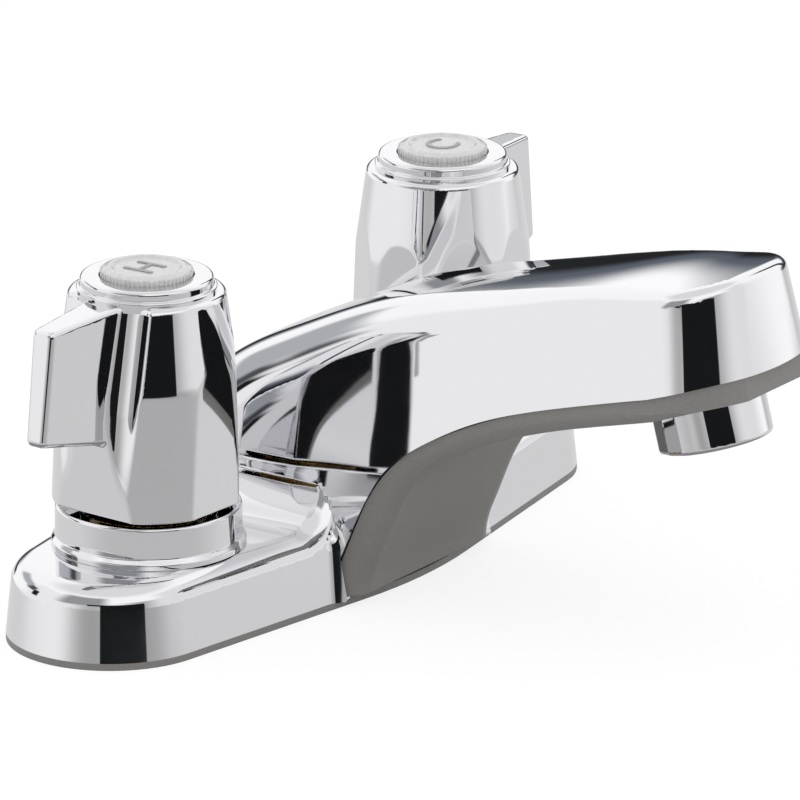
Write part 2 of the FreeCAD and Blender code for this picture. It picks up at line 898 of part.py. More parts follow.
def valve(side, sign):
    x = HANDLE_X * sign
    tail_top = dim.supply_tail - dim.shank_length
    relief_radius = dim.shank_radius - dim.shank_relief
    body = keep(new_body(side + "_valve_body"))
    turned(body, "barrel", [
        (dim.shank_bore, -dim.shank_length),
        (dim.shank_radius - dim.thread_fit * 8, -dim.shank_length),
        (dim.shank_radius, -dim.shank_length + dim.thread_fit * 8),
        (dim.shank_radius, tail_top),
        (relief_radius, tail_top + dim.shank_relief),
        (relief_radius, tail_top + dim.shank_relief * 2),
        (dim.shank_radius, tail_top + dim.shank_relief * 3),
        (dim.shank_radius, 0),
        (relief_radius, dim.shank_relief),
        (relief_radius, dim.floor_thickness),
        (dim.valve_flange_radius, dim.floor_thickness),
        (dim.valve_flange_radius, dim.floor_thickness + dim.valve_flange_thickness),
        (dim.valve_radius, dim.floor_thickness + dim.valve_flange_thickness),
        (dim.valve_radius, dim.valve_top),
        (dim.valve_bore, dim.valve_top),
        (dim.valve_bore, dim.valve_floor),
        (0, dim.valve_floor),
        (0, dim.valve_floor - dim.port_depth - dim.port_throat),
        (dim.shank_bore, dim.valve_floor - dim.port_depth - dim.port_throat),
    ])
    port = new_sketch(body, "port", "XY_Plane", (0, 0, dim.valve_floor - dim.port_depth))
    ring(port, dim.port_radius, x=-dim.port_offset)
    pocket(body, "port_bore", port, dim.port_depth, down=True)
    throat = new_sketch(body, "throat", "XY_Plane", (0, 0, dim.valve_floor - dim.port_depth))
    ring(throat, dim.port_throat, x=-dim.port_offset)
    pocket(body, "throat_bore", throat, dim.port_throat * 2)
    outlet = new_sketch(body, "outlet", "YZ_Plane")
    ring(outlet, dim.tube_radius + dim.thread_fit, y=dim.tube_height)
    pocket(body, "outlet_bore", outlet, dim.valve_flange_radius * 2, down=True)
    place(body, x=x, turn=0 if sign < 0 else 180)
    port_x = x + dim.port_offset * sign

    disc_foot = dim.valve_floor + dim.stem_foot_gap
    seat = keep(new_body(side + "_seat"))
    seat_radius = dim.port_radius - dim.seat_gap
    seat_foot = disc_foot - dim.seat_gap - dim.seat_height
    turned(seat, "cup", [
        (dim.spring_wire * 2, seat_foot),
        (seat_radius, seat_foot),
        (seat_radius, disc_foot - dim.seat_gap),
        (dim.spring_wire * 3, disc_foot - dim.seat_gap),
        (dim.spring_wire * 3, disc_foot - dim.seat_gap - dim.spring_wire),
        (dim.spring_wire * 2, disc_foot - dim.seat_gap - dim.spring_wire),
    ])
    place(seat, x=port_x)

    spring_foot = dim.valve_floor - dim.port_depth + dim.spring_wire / 2
    spring = keep(doc.addObject("Part::Feature", side + "_seat_spring"))
    coil_radius = (seat_radius - dim.spring_wire).number
    rise = (seat_foot - spring_foot - dim.spring_wire / 2).number - dim.seat_gap.number / 4
    coil = Part.makeHelix(rise / dim.spring_turns.number, rise, coil_radius)
    wire_circle = Part.Circle(FreeCAD.Vector(coil_radius, 0, 0), Y_AXIS,
                              dim.spring_wire.number / 2)
    section = Part.Wire([wire_circle.toShape()])
    spring.Shape = Part.Wire(coil.Edges).makePipeShell([section], True, True)
    place(spring, x=port_x, z=spring_foot)

    stem = keep(new_body(side + "_stem"))
    disc_top = disc_foot + dim.stem_disc_thickness
    stem_top = handle_foot + dim.handle_height - dim.screw_seat_drop - dim.broach_fit * 4
    groove = disc_top + dim.sleeve_thickness + dim.ring_section * 4
    turned(stem, "spindle", [
        (0, disc_foot),
        (dim.stem_disc_radius, disc_foot),
        (dim.stem_disc_radius, disc_top),
        (dim.stem_radius, disc_top),
        (dim.stem_radius, groove - dim.ring_section * 1.2),
        (dim.stem_radius - dim.ring_section * 2, groove - dim.ring_section * 1.2),
        (dim.stem_radius - dim.ring_section * 2, groove + dim.ring_section * 1.2),
        (dim.stem_radius, groove + dim.ring_section * 1.2),
        (dim.stem_radius, stem_top - dim.broach_length),
        (dim.broach_radius, stem_top - dim.broach_length),
        (dim.broach_radius, stem_top),
        (dim.screw_radius + dim.thread_fit, stem_top),
        (dim.screw_radius + dim.thread_fit, stem_top - dim.screw_reach),
        (0, stem_top - dim.screw_reach),
    ])
    doc.recompute()
    tooth = new_sketch(stem, "tooth", "XY_Plane", (0, 0, stem_top - dim.broach_length))
    ring(tooth, dim.broach_groove, x=dim.broach_radius)
    tooth_cut = pocket(stem, "tooth_cut", tooth, dim.broach_length, down=True)
    teeth = stem.newObject("PartDesign::PolarPattern", side + "_stem_teeth")
    teeth.Originals = [tooth_cut]
    teeth.Axis = (origin_item(stem, "Z_Axis"), [""])
    teeth.Angle = 360.0
    bind(teeth, "Occurrences", dim.broach_teeth)
    stem.Tip = teeth
    quarter = new_sketch(stem, "way", "XY_Plane", (0, 0, disc_foot))
    ring(quarter, dim.port_radius - dim.seat_gap * 2, x=dim.port_offset * -sign)
    way = pocket(stem, "way_cut", quarter, dim.stem_disc_thickness * 0.7, down=True)
    stem.Tip = way
    place(stem, x=x)

    o_ring = keep(doc.addObject("Part::Torus", side + "_stem_ring"))
    bind(o_ring, "Radius1", dim.stem_radius - dim.ring_section * 1.0)
    bind(o_ring, "Radius2", dim.ring_section)
    place(o_ring, x=x, z=groove)

    sleeve = keep(new_body(side + "_stem_sleeve"))
    turned(sleeve, "ring", [
        (dim.stem_radius + dim.stem_fit, disc_top + dim.stem_fit),
        (dim.valve_bore - dim.thread_fit, disc_top + dim.stem_fit),
        (dim.valve_bore - dim.thread_fit, disc_top + dim.sleeve_thickness),
        (dim.stem_radius + dim.stem_fit, disc_top + dim.sleeve_thickness),
    ])
    place(sleeve, x=x)

    nut = keep(new_body(side + "_bonnet_nut"))
    hex_prism(nut, "head", dim.bonnet_nut_flats, dim.valve_top, dim.bonnet_nut_height)
    neck = new_sketch(nut, "neck", "XY_Plane", (0, 0, disc_top + dim.sleeve_thickness))
    ring(neck, dim.valve_bore - dim.thread_fit)
    pad(nut, "thread", neck, dim.valve_top - disc_top - dim.sleeve_thickness)
    bore = new_sketch(nut, "bore", "XY_Plane", (0, 0, disc_top))
    ring(bore, dim.stem_radius + dim.stem_fit)
    pocket(nut, "stem_bore", bore, dim.valve_top * 2, down=True)
    place(nut, x=x)

    collar = keep(new_body(side + "_collar"))
    collar_top = shell_top + dim.collar_height
    turned(collar, "bell", [
        (dim.valve_radius + dim.thread_fit, shell_top),
        (dim.collar_radius - dim.collar_wall, shell_top),
        (dim.collar_radius, shell_top + dim.collar_wall / 2),
        (dim.collar_radius, shell_top + dim.collar_wall),
        (dim.collar_top_radius, shell_top + dim.collar_wall * 1.5),
        (dim.collar_top_radius, collar_top - dim.collar_wall / 4),
        (dim.collar_top_radius - dim.collar_wall / 4, collar_top),
        (dim.collar_top_radius - dim.collar_wall, collar_top),
        (dim.collar_top_radius - dim.collar_wall, shell_top + dim.collar_foot),
        (dim.valve_radius + dim.thread_fit, shell_top + dim.collar_foot),
    ])
    place(collar, x=x)

    mounting = keep(new_body(side + "_mounting_nut"))
    nut_top = -dim.mounting_nut_drop
    hex_prism(mounting, "body", dim.mounting_nut_flats, nut_top - dim.mounting_nut_height,
              dim.mounting_nut_height)
    hole = new_sketch(mounting, "thread", "XY_Plane", (0, 0, nut_top - dim.mounting_nut_height))
    ring(hole, dim.shank_radius + dim.thread_fit)
    pocket(mounting, "thread_bore", hole, dim.mounting_nut_height, down=True)
    place(mounting, x=x)

    washer_plate = keep(new_body(side + "_mounting_washer"))
    plate = new_sketch(washer_plate, "ring", "XY_Plane", (0, 0, nut_top))
    ring(plate, dim.mounting_washer_radius)
    ring(plate, dim.shank_radius + dim.shank_clearance / 2)
    pad(washer_plate, "plate", plate, dim.mounting_washer_thickness)
    place(washer_plate, x=x)


# Handles: a faceted chrome knob with a wing, its screw, index disc and clear button

handle_foot = shell_top + dim.collar_height + dim.handle_gap
handle_shoulder = handle_foot + dim.handle_height - dim.platform_lift - dim.cove_lift
handle_top = handle_foot + dim.handle_height


def flat_cut(body, name, role, spots, swing=0):
    """Plane off one side of the knob. spots are (distance from the axis, drop below the
    shoulder), with a radius where the cut bends, and the cut runs right across the knob."""
    sketch = new_sketch(body, name + "_profile", role, swing=swing)
    outer = dim.handle_foot_radius * 2
    corners = [(spot[0], handle_shoulder - spot[1], *spot[2:]) for spot in spots]
    corners.append((outer, corners[-1][1]))
    corners.append((outer, corners[0][1]))
    outline(sketch, corners)
    return pocket(body, name, sketch, dim.handle_foot_radius * 4, midplane=True)


def around(body, name, feature, angle, count):
    """Repeat a cut about the knob's axis."""
    pattern = body.newObject("PartDesign::PolarPattern", body.Label + "_" + name)
    pattern.Originals = [feature]
    pattern.Axis = (origin_item(body, "Z_Axis"), [""])
    pattern.Angle = float(angle)
    pattern.Occurrences = count
    body.Tip = pattern
    return pattern


def handle(side, sign):
    x = HANDLE_X * sign
    turn = dim.wing_turn if sign > 0 else 180 - dim.wing_turn
    knob = keep(new_body(side + "_handle"))
    shoulder = handle_shoulder
    web = handle_top - dim.screw_seat_drop
    button_floor = handle_top - dim.button_depth - dim.index_thickness
    profile = new_sketch(knob, "profile", "XZ_Plane")
    arc_chain(profile, [
        (dim.skirt_foot_radius, handle_foot),
        (dim.handle_foot_radius, handle_foot),
        (dim.handle_shoulder_radius, shoulder, dim.handle_barrel_radius),
        (dim.cove_radius, shoulder + dim.cove_lift),
        (dim.platform_radius, shoulder + dim.cove_lift),
        (dim.platform_radius, handle_top),
        (dim.button_radius + dim.button_fit, handle_top),
        (dim.button_radius + dim.button_fit, button_floor),
        (dim.screw_head_radius + dim.button_fit, button_floor),
        (dim.screw_head_radius + dim.button_fit, web),
        (dim.screw_radius + dim.thread_fit, web),
        (dim.screw_radius + dim.thread_fit, web - dim.broach_fit * 2),
        (dim.broach_radius + dim.broach_fit, web - dim.broach_fit * 2),
        (dim.broach_radius + dim.broach_fit, handle_top - dim.hub_drop),
        (dim.hub_radius, handle_top - dim.hub_drop),
        (dim.hub_radius, web - dim.handle_skirt_wall),
        (dim.skirt_top_radius, web - dim.handle_skirt_wall),
    ])
    core = knob.newObject("PartDesign::Revolution", side + "_handle_core")
    core.Profile = profile
    core.ReferenceAxis = (profile, ["V_Axis"])
    core.Angle = 360.0

    foot_drop = shoulder - handle_foot
    scoop = flat_cut(knob, "scoop", "XZ_Plane", [
        (dim.scoop_top, -dim.cove_lift),
        (dim.scoop_waist, dim.scoop_waist_drop, dim.scoop_round),
        (dim.scoop_end, dim.scoop_end_drop, dim.scoop_round),
        (dim.scoop_foot, foot_drop + 1),
    ])
    broad = flat_cut(knob, "broad_flat", "YZ_Plane", [
        (dim.broad_flat_top, 0),
        (dim.broad_flat_knee, dim.broad_flat_knee_drop, dim.knee_round),
        (dim.broad_flat_foot, foot_drop + 1),
    ])
    around(knob, "broad_flats", broad, 180, 3)
    narrow = flat_cut(knob, "narrow_flat", "YZ_Plane", [
        (dim.narrow_flat_top, 0),
        (dim.narrow_flat_knee, dim.narrow_flat_knee_drop, dim.knee_round),
        (dim.narrow_flat_foot, foot_drop + 1),
    ], swing=45)
    around(knob, "narrow_flats", narrow, 90, 2)
    end_fall = (dim.wing_top_drop * (dim.wing_reach_low - dim.scoop_top) /
                (dim.wing_reach_top - dim.scoop_top))
    wing_ends = []
    for name, reach, thickness, fall, drop in (
            ("root", dim.scoop_top, dim.wing_root_thickness, ZERO, dim.wing_root_drop),
            ("end", dim.wing_reach_low, dim.wing_end_thickness, end_fall, dim.wing_low_drop)):
        sketch = new_sketch(knob, "wing_" + name, "YZ_Plane", (0, 0, reach))
        outline(sketch, [
            (-thickness / 2, shoulder - drop),
            (thickness / 2, shoulder - drop),
            (thickness / 2, shoulder - fall),
            (-thickness / 2, shoulder - fall),
        ])
        wing_ends.append(sketch)
    blade = knob.newObject("PartDesign::AdditiveLoft", side + "_handle_wing")
    blade.Profile = wing_ends[0]
    blade.Sections = wing_ends[1:]
    blade.Ruled = True
    wing_tip = new_sketch(knob, "wing_tip", "XZ_Plane")
    outline(wing_tip, [
        (dim.wing_reach_top, shoulder - dim.wing_top_drop),
        (dim.wing_reach_low, shoulder - dim.wing_low_drop),
        (dim.wing_reach_low * 2, shoulder - dim.wing_low_drop),
        (dim.wing_reach_low * 2, shoulder * 2),
        (dim.wing_reach_top, shoulder * 2),
    ])
    wing = pocket(knob, "wing_end", wing_tip, dim.wing_root_thickness * 2, midplane=True)
    clear_of_barrel = dim.handle_foot_radius.number + 2
    fillet(knob, "wing_edges", wing, dim.wing_edge_round,
           lambda edge: edge.BoundBox.XMax > clear_of_barrel)
    place(knob, x=x, turn=turn)

    disc = keep(new_body(side + "_index_disc"))
    disc_sketch = new_sketch(disc, "circle", "XY_Plane", (0, 0, button_floor))
    ring(disc_sketch, dim.button_radius - dim.button_fit)
    pad(disc, "plate", disc_sketch, dim.index_thickness)
    place(disc, x=x)

    button = keep(new_body(side + "_index_button"))
    top = handle_top + dim.button_lift
    foot = button_floor + dim.index_thickness
    turned(button, "lens", [
        (0, foot),
        (dim.button_radius, foot),
        (dim.button_radius, top - dim.button_bevel),
        (dim.button_radius - dim.button_bevel, top),
        (0, top),
    ])
    place(button, x=x)

    screw = keep(new_body(side + "_handle_screw"))
    turned(screw, "pin", [
        (0, web - dim.screw_reach),
        (dim.screw_radius, web - dim.screw_reach),
        (dim.screw_radius, web),
        (dim.screw_head_radius, web),
        (dim.screw_head_radius, web + dim.screw_head_height * 0.6),
        (dim.screw_head_radius * 0.6, web + dim.screw_head_height),
        (0, web + dim.screw_head_height),
    ])
    place(screw, x=x)


for side, sign in (("hot", -1), ("cold", 1)):
    valve(side, sign)
    handle(side, sign)


# Check every item, then write one file for each sub-part

doc.recompute()
for item in doc.Objects:
    if "Invalid" in item.State or "Error" in item.State:
        raise RuntimeError("%s did not build: %s" % (item.Name, item.State))
for item in sub_parts:
    if item.Shape.isNull() or not item.Shape.isValid() or not item.Shape.Solids:
        raise RuntimeError("%s has no sound shape" % item.Label)

os.makedirs("parts", exist_ok=True)
for item in sub_parts:
    item.Shape.exportStep("parts/%s.step" % item.Label)
    print("%-24s %8.0f mm3" % (item.Label, item.Shape.Volume))
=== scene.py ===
"""A two-handle centreset basin faucet: bright chrome shell, grey underbody and winged handles."""
import math

import bpy
import numpy as np
from mathutils import Matrix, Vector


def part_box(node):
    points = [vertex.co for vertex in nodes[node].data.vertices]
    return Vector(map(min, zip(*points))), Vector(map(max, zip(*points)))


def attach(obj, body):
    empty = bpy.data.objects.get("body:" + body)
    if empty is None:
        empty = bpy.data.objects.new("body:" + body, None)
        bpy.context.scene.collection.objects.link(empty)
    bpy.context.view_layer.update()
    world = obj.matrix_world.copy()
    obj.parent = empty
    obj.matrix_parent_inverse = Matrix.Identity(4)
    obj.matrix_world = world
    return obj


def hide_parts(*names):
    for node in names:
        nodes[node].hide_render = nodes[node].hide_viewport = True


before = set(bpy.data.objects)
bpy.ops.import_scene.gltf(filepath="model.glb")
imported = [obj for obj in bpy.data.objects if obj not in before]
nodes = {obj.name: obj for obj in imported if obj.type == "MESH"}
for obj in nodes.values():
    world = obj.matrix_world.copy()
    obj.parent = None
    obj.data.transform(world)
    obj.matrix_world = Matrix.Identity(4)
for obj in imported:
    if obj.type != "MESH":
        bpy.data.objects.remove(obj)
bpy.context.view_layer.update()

# Brass valve bodies with their threaded shanks, bonnet nuts and mounting nuts. They are turned
# and milled from free-cutting brass bar and left bare, so fine tool rings show round their axes.
MM = 0.001
BRASS_COLOUR = "#C9A35B"
BRASS_DARK = "#A98443"
TOOL_RING_SPACING, TOOL_RING_DEPTH = 0.35 * MM, 0.01 * MM
TUBE_RING_SPACING = 1.1 * MM
# Blender's wave texture turns through this many radians along each unit of its scaled length
WAVE_BANDS = 20


def linear(hex_colour, alpha=1.0):
    """The linear colour of an sRGB hex value."""
    parts = [int(hex_colour[i:i + 2], 16) / 255 for i in (1, 3, 5)]
    curve = [c / 12.92 if c <= 0.04045 else ((c + 0.055) / 1.055) ** 2.4 for c in parts]
    return (*curve, alpha)


def add(tree, kind, links=None, **settings):
    """Adds a node. Settings name its own fields, or its inputs as in_Name; links feed inputs."""
    node = tree.nodes.new(kind)
    for name, value in settings.items():
        if name.startswith("in_"):
            node.inputs[name[3:].replace("_", " ")].default_value = value
        else:
            setattr(node, name, value)
    for name, socket in (links or {}).items():
        tree.links.new(socket, node.inputs[name])
    return node


def new_material(name, **surface):
    """A material with one Principled shader, returned with its tree, shader and coordinates."""
    material = bpy.data.materials.new(name)
    material.use_nodes = True
    tree = material.node_tree
    shader = tree.nodes["Principled BSDF"]
    for socket, value in surface.items():
        shader.inputs[socket.replace("_", " ")].default_value = value
    place = add(tree, "ShaderNodeTexCoord").outputs["Object"]
    return material, tree, shader, place


def vary(tree, place, scale, low, high, detail=3.0):
    """A noise of that scale, in features a metre, spread from low to high."""
    noise = add(tree, "ShaderNodeTexNoise", {"Vector": place}, in_Scale=scale, in_Detail=detail)
    spread = add(tree, "ShaderNodeMapRange", {"Value": noise.outputs["Fac"]})
    for socket, value in (("From Min", 0.3), ("From Max", 0.7), ("To Min", low), ("To Max", high)):
        spread.inputs[socket].default_value = value
    return spread.outputs["Result"]


def tint(tree, factor, low, high):
    """A colour that goes from low to high with the factor."""
    mix = add(tree, "ShaderNodeMix", data_type="RGBA")
    tree.links.new(factor, mix.inputs["Factor"])
    mix.inputs["A"].default_value = linear(low)
    mix.inputs["B"].default_value = linear(high)
    return mix.outputs["Result"]


def relief(tree, shader, height, depth):
    """Raises the surface by a height pattern, depth metres from its lowest to its highest."""
    bump = add(tree, "ShaderNodeBump", {"Height": height}, in_Distance=depth)
    tree.links.new(bump.outputs["Normal"], shader.inputs["Normal"])


def turned_metal(name, pale, dark, roughness, x=0.0, spacing=TOOL_RING_SPACING):
    """Bare turned metal: rings of tool marks round the axis at x, and a faint cloudy tarnish."""
    material, tree, shader, place = new_material(name, Metallic=1.0)
    cloud = vary(tree, place, 90.0, 0.0, 1.0)
    tree.links.new(tint(tree, cloud, pale, dark), shader.inputs["Base Color"])
    tree.links.new(vary(tree, place, 400.0, roughness * 0.8, roughness * 1.25),
                   shader.inputs["Roughness"])
    centred = add(tree, "ShaderNodeMapping", {"Vector": place}, in_Location=(-x, 0.0, 0.0))
    rings = add(tree, "ShaderNodeTexWave", {"Vector": centred.outputs["Vector"]},
                wave_type="BANDS", bands_direction="Z", in_Scale=math.tau / spacing / WAVE_BANDS,
                in_Distortion=0.4)
    relief(tree, shader, rings.outputs["Fac"], TOOL_RING_DEPTH)
    return material


def dress(material, *names):
    """Gives CAD nodes their finish."""
    for name in names:
        slots = nodes[name].data.materials
        slots.clear()
        slots.append(material)


# Bare brass: warm yellow, a little cloudy, with a soft sheen that the tool rings break up
for side in ("hot", "cold"):
    axis_x = sum(corner.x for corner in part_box(side + "_valve_body")) / 2
    brass = turned_metal(side + "_turned_brass", BRASS_COLOUR, BRASS_DARK, 0.28, axis_x)
    dress(brass, side + "_valve_body", side + "_bonnet_nut", side + "_mounting_nut",
          side + "_stem")
brass = turned_metal("milled_brass", BRASS_COLOUR, BRASS_DARK, 0.3)
dress(brass, "mixing_block", "spout_nozzle")

# Small metal fittings: pale plated steel washers, springs and screws, and rosy drawn tube
steel = turned_metal("zinc_plated_steel", "#C6C8CA", "#A9ABAD", 0.32)
copper = turned_metal("drawn_copper", "#C98A66", "#A9674A", 0.3, spacing=TUBE_RING_SPACING)
for side in ("hot", "cold"):
    dress(steel, side + "_mounting_washer", side + "_seat_spring", side + "_handle_screw")
    dress(copper, side + "_cross_tube")
dress(copper, "spout_tube")

# Seals: matt black rubber seats and rings, and milky white acetal sleeves with a waxy sheen
rubber, tree, shader, place = new_material("black_rubber", Roughness=0.7)
tree.links.new(tint(tree, vary(tree, place, 700.0, 0.0, 1.0), "#151515", "#232323"),
               shader.inputs["Base Color"])
acetal, tree, shader, place = new_material("white_acetal", Roughness=0.35)
tree.links.new(tint(tree, vary(tree, place, 500.0, 0.0, 1.0), "#E4E3DD", "#D8D6CF"),
               shader.inputs["Base Color"])
for side in ("hot", "cold"):
    dress(rubber, side + "_seat", side + "_stem_ring")
    dress(acetal, side + "_stem_sleeve")
dress(rubber, "aerator_washer")
dress(acetal, "aerator_insert")

# Grey underbody: one ABS moulding with a fine eroded texture. It shows as the thin rim under
# the base, the pedestal's front and the band under the spout. Its tip is bowed as the shell's is.
# The bow's radius in plan, and how far forward of the handles it starts and is full
BOW_RADIUS, BOW_START, BOW_FULL = 42.0, 95.0, 113.0
GRAIN_DEPTH = 0.02 * MM


def bow(x, y):
    """How far the tip's front falls back at that distance from the middle."""
    return x ** 2 / (2 * BOW_RADIUS) * np.clip((-y - BOW_START) / (BOW_FULL - BOW_START), 0, 1)


# The plastic looks satin, warm mid grey and very finely grained
plastic, tree, shader, place = new_material("grey_abs", Roughness=0.42)
grain = vary(tree, place, 2600.0, 0.0, 1.0, 2.0)
tree.links.new(tint(tree, grain, "#868482", "#7E7C7A"), shader.inputs["Base Color"])
relief(tree, shader, grain, GRAIN_DEPTH)
dress(plastic, "underbody")
moulding = bpy.data.objects.new("moulded_underbody", nodes["underbody"].data.copy())
bpy.context.scene.collection.objects.link(moulding)
for corner in moulding.data.vertices:
    x, y, _ = corner.co / MM
    corner.co.y += float(bow(x, y)) * MM
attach(moulding, "base")
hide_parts("underbody")

# Chrome shell: base and spout in one thin casting, polished and plated bright. Its form is a
# distance field, meshed on a fine grid, because a mirror shows every facet of a coarser mesh.
RIM_HEIGHT = 1.4
BASE_HEIGHT = 16.0
BASE_DRAFT = math.radians(6.0)
BASE_EDGE_ROUND = 4.0
END_CENTRE = 63.0
END_RADIUS = 20.6
SIDE_TAPER = math.radians(9.0)
MIDDLE_RADIUS = 110.0
SHELL_WALL = 1.8
HANDLE_X = 50.8
VALVE_HOLE_RADIUS = 12.5
# Front edge, height, lean in degrees and depth of each section, from the deck to the tip
SPOUT_SECTIONS = (
    (30.5, 1.4, 0.0, 56.5),
    (33.5, 12.0, 8.0, 59.0),
    (38.7, 23.3, 17.5, 53.2),
    (44.0, 29.5, 29.0, 43.0),
    (53.0, 35.0, 44.5, 35.3),
    (66.0, 40.6, 61.0, 29.1),
    (85.3, 46.2, 74.0, 26.8),
    (99.0, 49.8, 77.5, 25.0),
    (113.0, 53.5, 80.0, 23.5),
    (125.0, 56.7, 81.5, 22.5),
)
# Half widths, edge roundings and grey band of the spout, from its root to its tip
ROOT_LOW_HALF, TIP_LOW_HALF = 25.0, 21.3
ROOT_TOP_HALF, TIP_TOP_HALF = 26.0, 18.0
ROOT_TOP_ROUND, TIP_TOP_ROUND = 15.0, 1.8
ROOT_BAND, TIP_BAND = 5.6, 4.6
TOP_CROWN = 0.9
TIP_REACH = 113.0
TIP_FACE_HEIGHT = 50.0
TIP_FACE_LEAN = math.radians(12.5)
TIP_CORNER_ROUND = 12.0
# The hollow fillets between spout and base, on the base's top and down its front
FAIRING, ROOT_JOIN = 9.0, 3.0
FRONT_EDGE_ROUND = 1.0
NOTCH_HALF = 25.15
SHELL_LOW, SHELL_HIGH, SHELL_GRID = (-85.3, -116.1, 0.1), (85.3, 33.3, 78.3), 0.8


def round_max(a, b, radius):
    """Two surfaces that meet in an outside edge of that radius."""
    return (np.minimum(np.maximum(a, b) + radius, 0) - radius
            + np.hypot(np.maximum(a + radius, 0), np.maximum(b + radius, 0)))


def faired(a, b, radius):
    """Two forms joined by a hollow fillet of that radius."""
    return (np.maximum(np.minimum(a, b), radius)
            - np.hypot(np.maximum(radius - a, 0), np.maximum(radius - b, 0)))


def spline(knots, values):
    """The natural cubic spline through rows of values."""
    gap = np.diff(knots)
    system = np.eye(len(knots))
    pull = np.zeros_like(values)
    for i in range(1, len(knots) - 1):
        system[i, i - 1:i + 2] = gap[i - 1], 2 * (gap[i - 1] + gap[i]), gap[i]
        pull[i] = 6 * ((values[i + 1] - values[i]) / gap[i]
                       - (values[i] - values[i - 1]) / gap[i - 1])
    bend = np.linalg.solve(system, pull)

    def at(place):
        i = np.clip(np.searchsorted(knots, place) - 1, 0, len(knots) - 2)
        a = ((knots[i + 1] - place) / gap[i])[..., None]
        b = 1 - a
        curve = ((a ** 3 - a) * bend[i] + (b ** 3 - b) * bend[i + 1]) * gap[i][..., None] ** 2 / 6
        return np.moveaxis(a * values[i] + b * values[i + 1] + curve, -1, 0)

    return at


section_at = spline(np.linspace(0, 1, len(SPOUT_SECTIONS)), np.array(SPOUT_SECTIONS))


def past_section(share, y, z):
    """How far a point lies behind the leaning section at that share of the spout."""
    front, height, lean, _ = section_at(share)
    lean = np.radians(lean)
    return (y + front) * np.sin(lean) - (z - height) * np.cos(lean)


# A coarse table over y and z of the share of the sections that lie before each place. It is the
# first guess of spout_place, whose later steps stay within the least slope and the widest share.
GUESS_STEP, GUESS_SECTIONS = 1.0, 81
GUESS_LOW, GUESS_HIGH = (-130.0, -2.0), (40.0, 75.0)
LEAST_SLOPE, SHARE_LOW, SHARE_HIGH = 30.0, -0.02, 1.05
guess_y = np.arange(GUESS_LOW[0], GUESS_HIGH[0], GUESS_STEP)[:, None, None]
guess_z = np.arange(GUESS_LOW[1], GUESS_HIGH[1], GUESS_STEP)[None, :, None]
trial = np.linspace(0, 1, GUESS_SECTIONS)
guess_share = (past_section(trial, guess_y, guess_z) < 0).mean(axis=2)


def spout_place(y, z):
    """The share of the spout's length at which a point lies, and its height in that section."""
    row = np.clip(((y - GUESS_LOW[0]) / GUESS_STEP + 0.5).astype(int), 0, guess_share.shape[0] - 1)
    column = np.clip(((z - GUESS_LOW[1]) / GUESS_STEP + 0.5).astype(int), 0,
                     guess_share.shape[1] - 1)
    share = guess_share[row, column]
    tiny = 1e-4
    for _ in range(4):
        steep = past_section(share + tiny, y, z) - past_section(share - tiny, y, z)
        steep = np.maximum(steep / (2 * tiny), LEAST_SLOPE)
        share = np.clip(share - past_section(share, y, z) / steep, SHARE_LOW, SHARE_HIGH)
    front, height, lean, depth = section_at(share)
    lean = np.radians(lean)
    return share, (y + front) * np.cos(lean) + (z - height) * np.sin(lean), depth


def spout_form(x, y, z):
    """The spout's outside: leaning sides, a barely crowned top and the round-cornered tip."""
    y = y - bow(x, y)
    share, rise, depth = spout_place(y, z)
    low_half = ROOT_LOW_HALF + (TIP_LOW_HALF - ROOT_LOW_HALF) * share
    top_half = TIP_TOP_HALF + (ROOT_TOP_HALF - TIP_TOP_HALF) * (1 - share) ** 3
    top_round = TIP_TOP_ROUND + (ROOT_TOP_ROUND - TIP_TOP_ROUND) * (1 - share ** 2) ** 3
    narrowing = low_half - top_half
    half = low_half - narrowing * rise / depth
    side = (np.abs(x) - half) * depth / np.hypot(depth, narrowing)
    face = (-y - TIP_REACH + (z - TIP_FACE_HEIGHT) * math.tan(TIP_FACE_LEAN)) \
        * math.cos(TIP_FACE_LEAN)
    top = rise - depth + TOP_CROWN * (x / top_half) ** 2
    return round_max(round_max(side, face, TIP_CORNER_ROUND), top, top_round)


def plan_distance(x, y):
    """Distance from the base's plan: round ends, tapering sides and a gently round middle."""
    x, y = np.abs(x), np.abs(y)
    normal = math.sin(SIDE_TAPER), math.cos(SIDE_TAPER)
    reach = END_RADIUS + END_CENTRE * normal[0]
    middle_y = reach / normal[1] + 0 * x - MIDDLE_RADIUS / normal[1]
    line = x * normal[0] + y * normal[1] - reach
    end = np.hypot(x - END_CENTRE, y) - END_RADIUS
    middle = np.hypot(x, y - middle_y) - MIDDLE_RADIUS
    round_end = (x - END_CENTRE) * normal[1] > y * normal[0]
    round_middle = x * normal[1] < (y - middle_y) * normal[0]
    return np.where(round_end, end, np.where(round_middle, middle, line))


def shell_form(x, y, z):
    """The whole chrome outside: the base rises into the spout's sides in a hollow fairing."""
    spout = spout_form(x, y, z)
    plate = faired(spout, z - BASE_HEIGHT, FAIRING)
    wall = plan_distance(x, y) * math.cos(BASE_DRAFT) + (z - RIM_HEIGHT) * math.sin(BASE_DRAFT)
    base = round_max(plate, wall, BASE_EDGE_ROUND)
    slab = round_max(z - BASE_HEIGHT, wall, BASE_EDGE_ROUND)
    joined = np.minimum(faired(spout, slab, ROOT_JOIN), base)
    rise = spout_place(y - bow(x, y), z)[1]
    return round_max(joined, -rise, FRONT_EDGE_ROUND)


def slope(field, points):
    """How far off the surface each point lies, and the surface's normal there."""
    reach = 0.01
    rise = []
    for axis in range(3):
        offset = np.zeros(3)
        offset[axis] = reach
        rise.append(field(*(points + offset).T) - field(*(points - offset).T))
    rise = np.stack(rise, axis=1) / (2 * reach)
    steep = np.linalg.norm(rise, axis=1, keepdims=True)
    return field(*points.T)[:, None] / np.maximum(steep, 0.2), rise / np.maximum(steep, 1e-9)


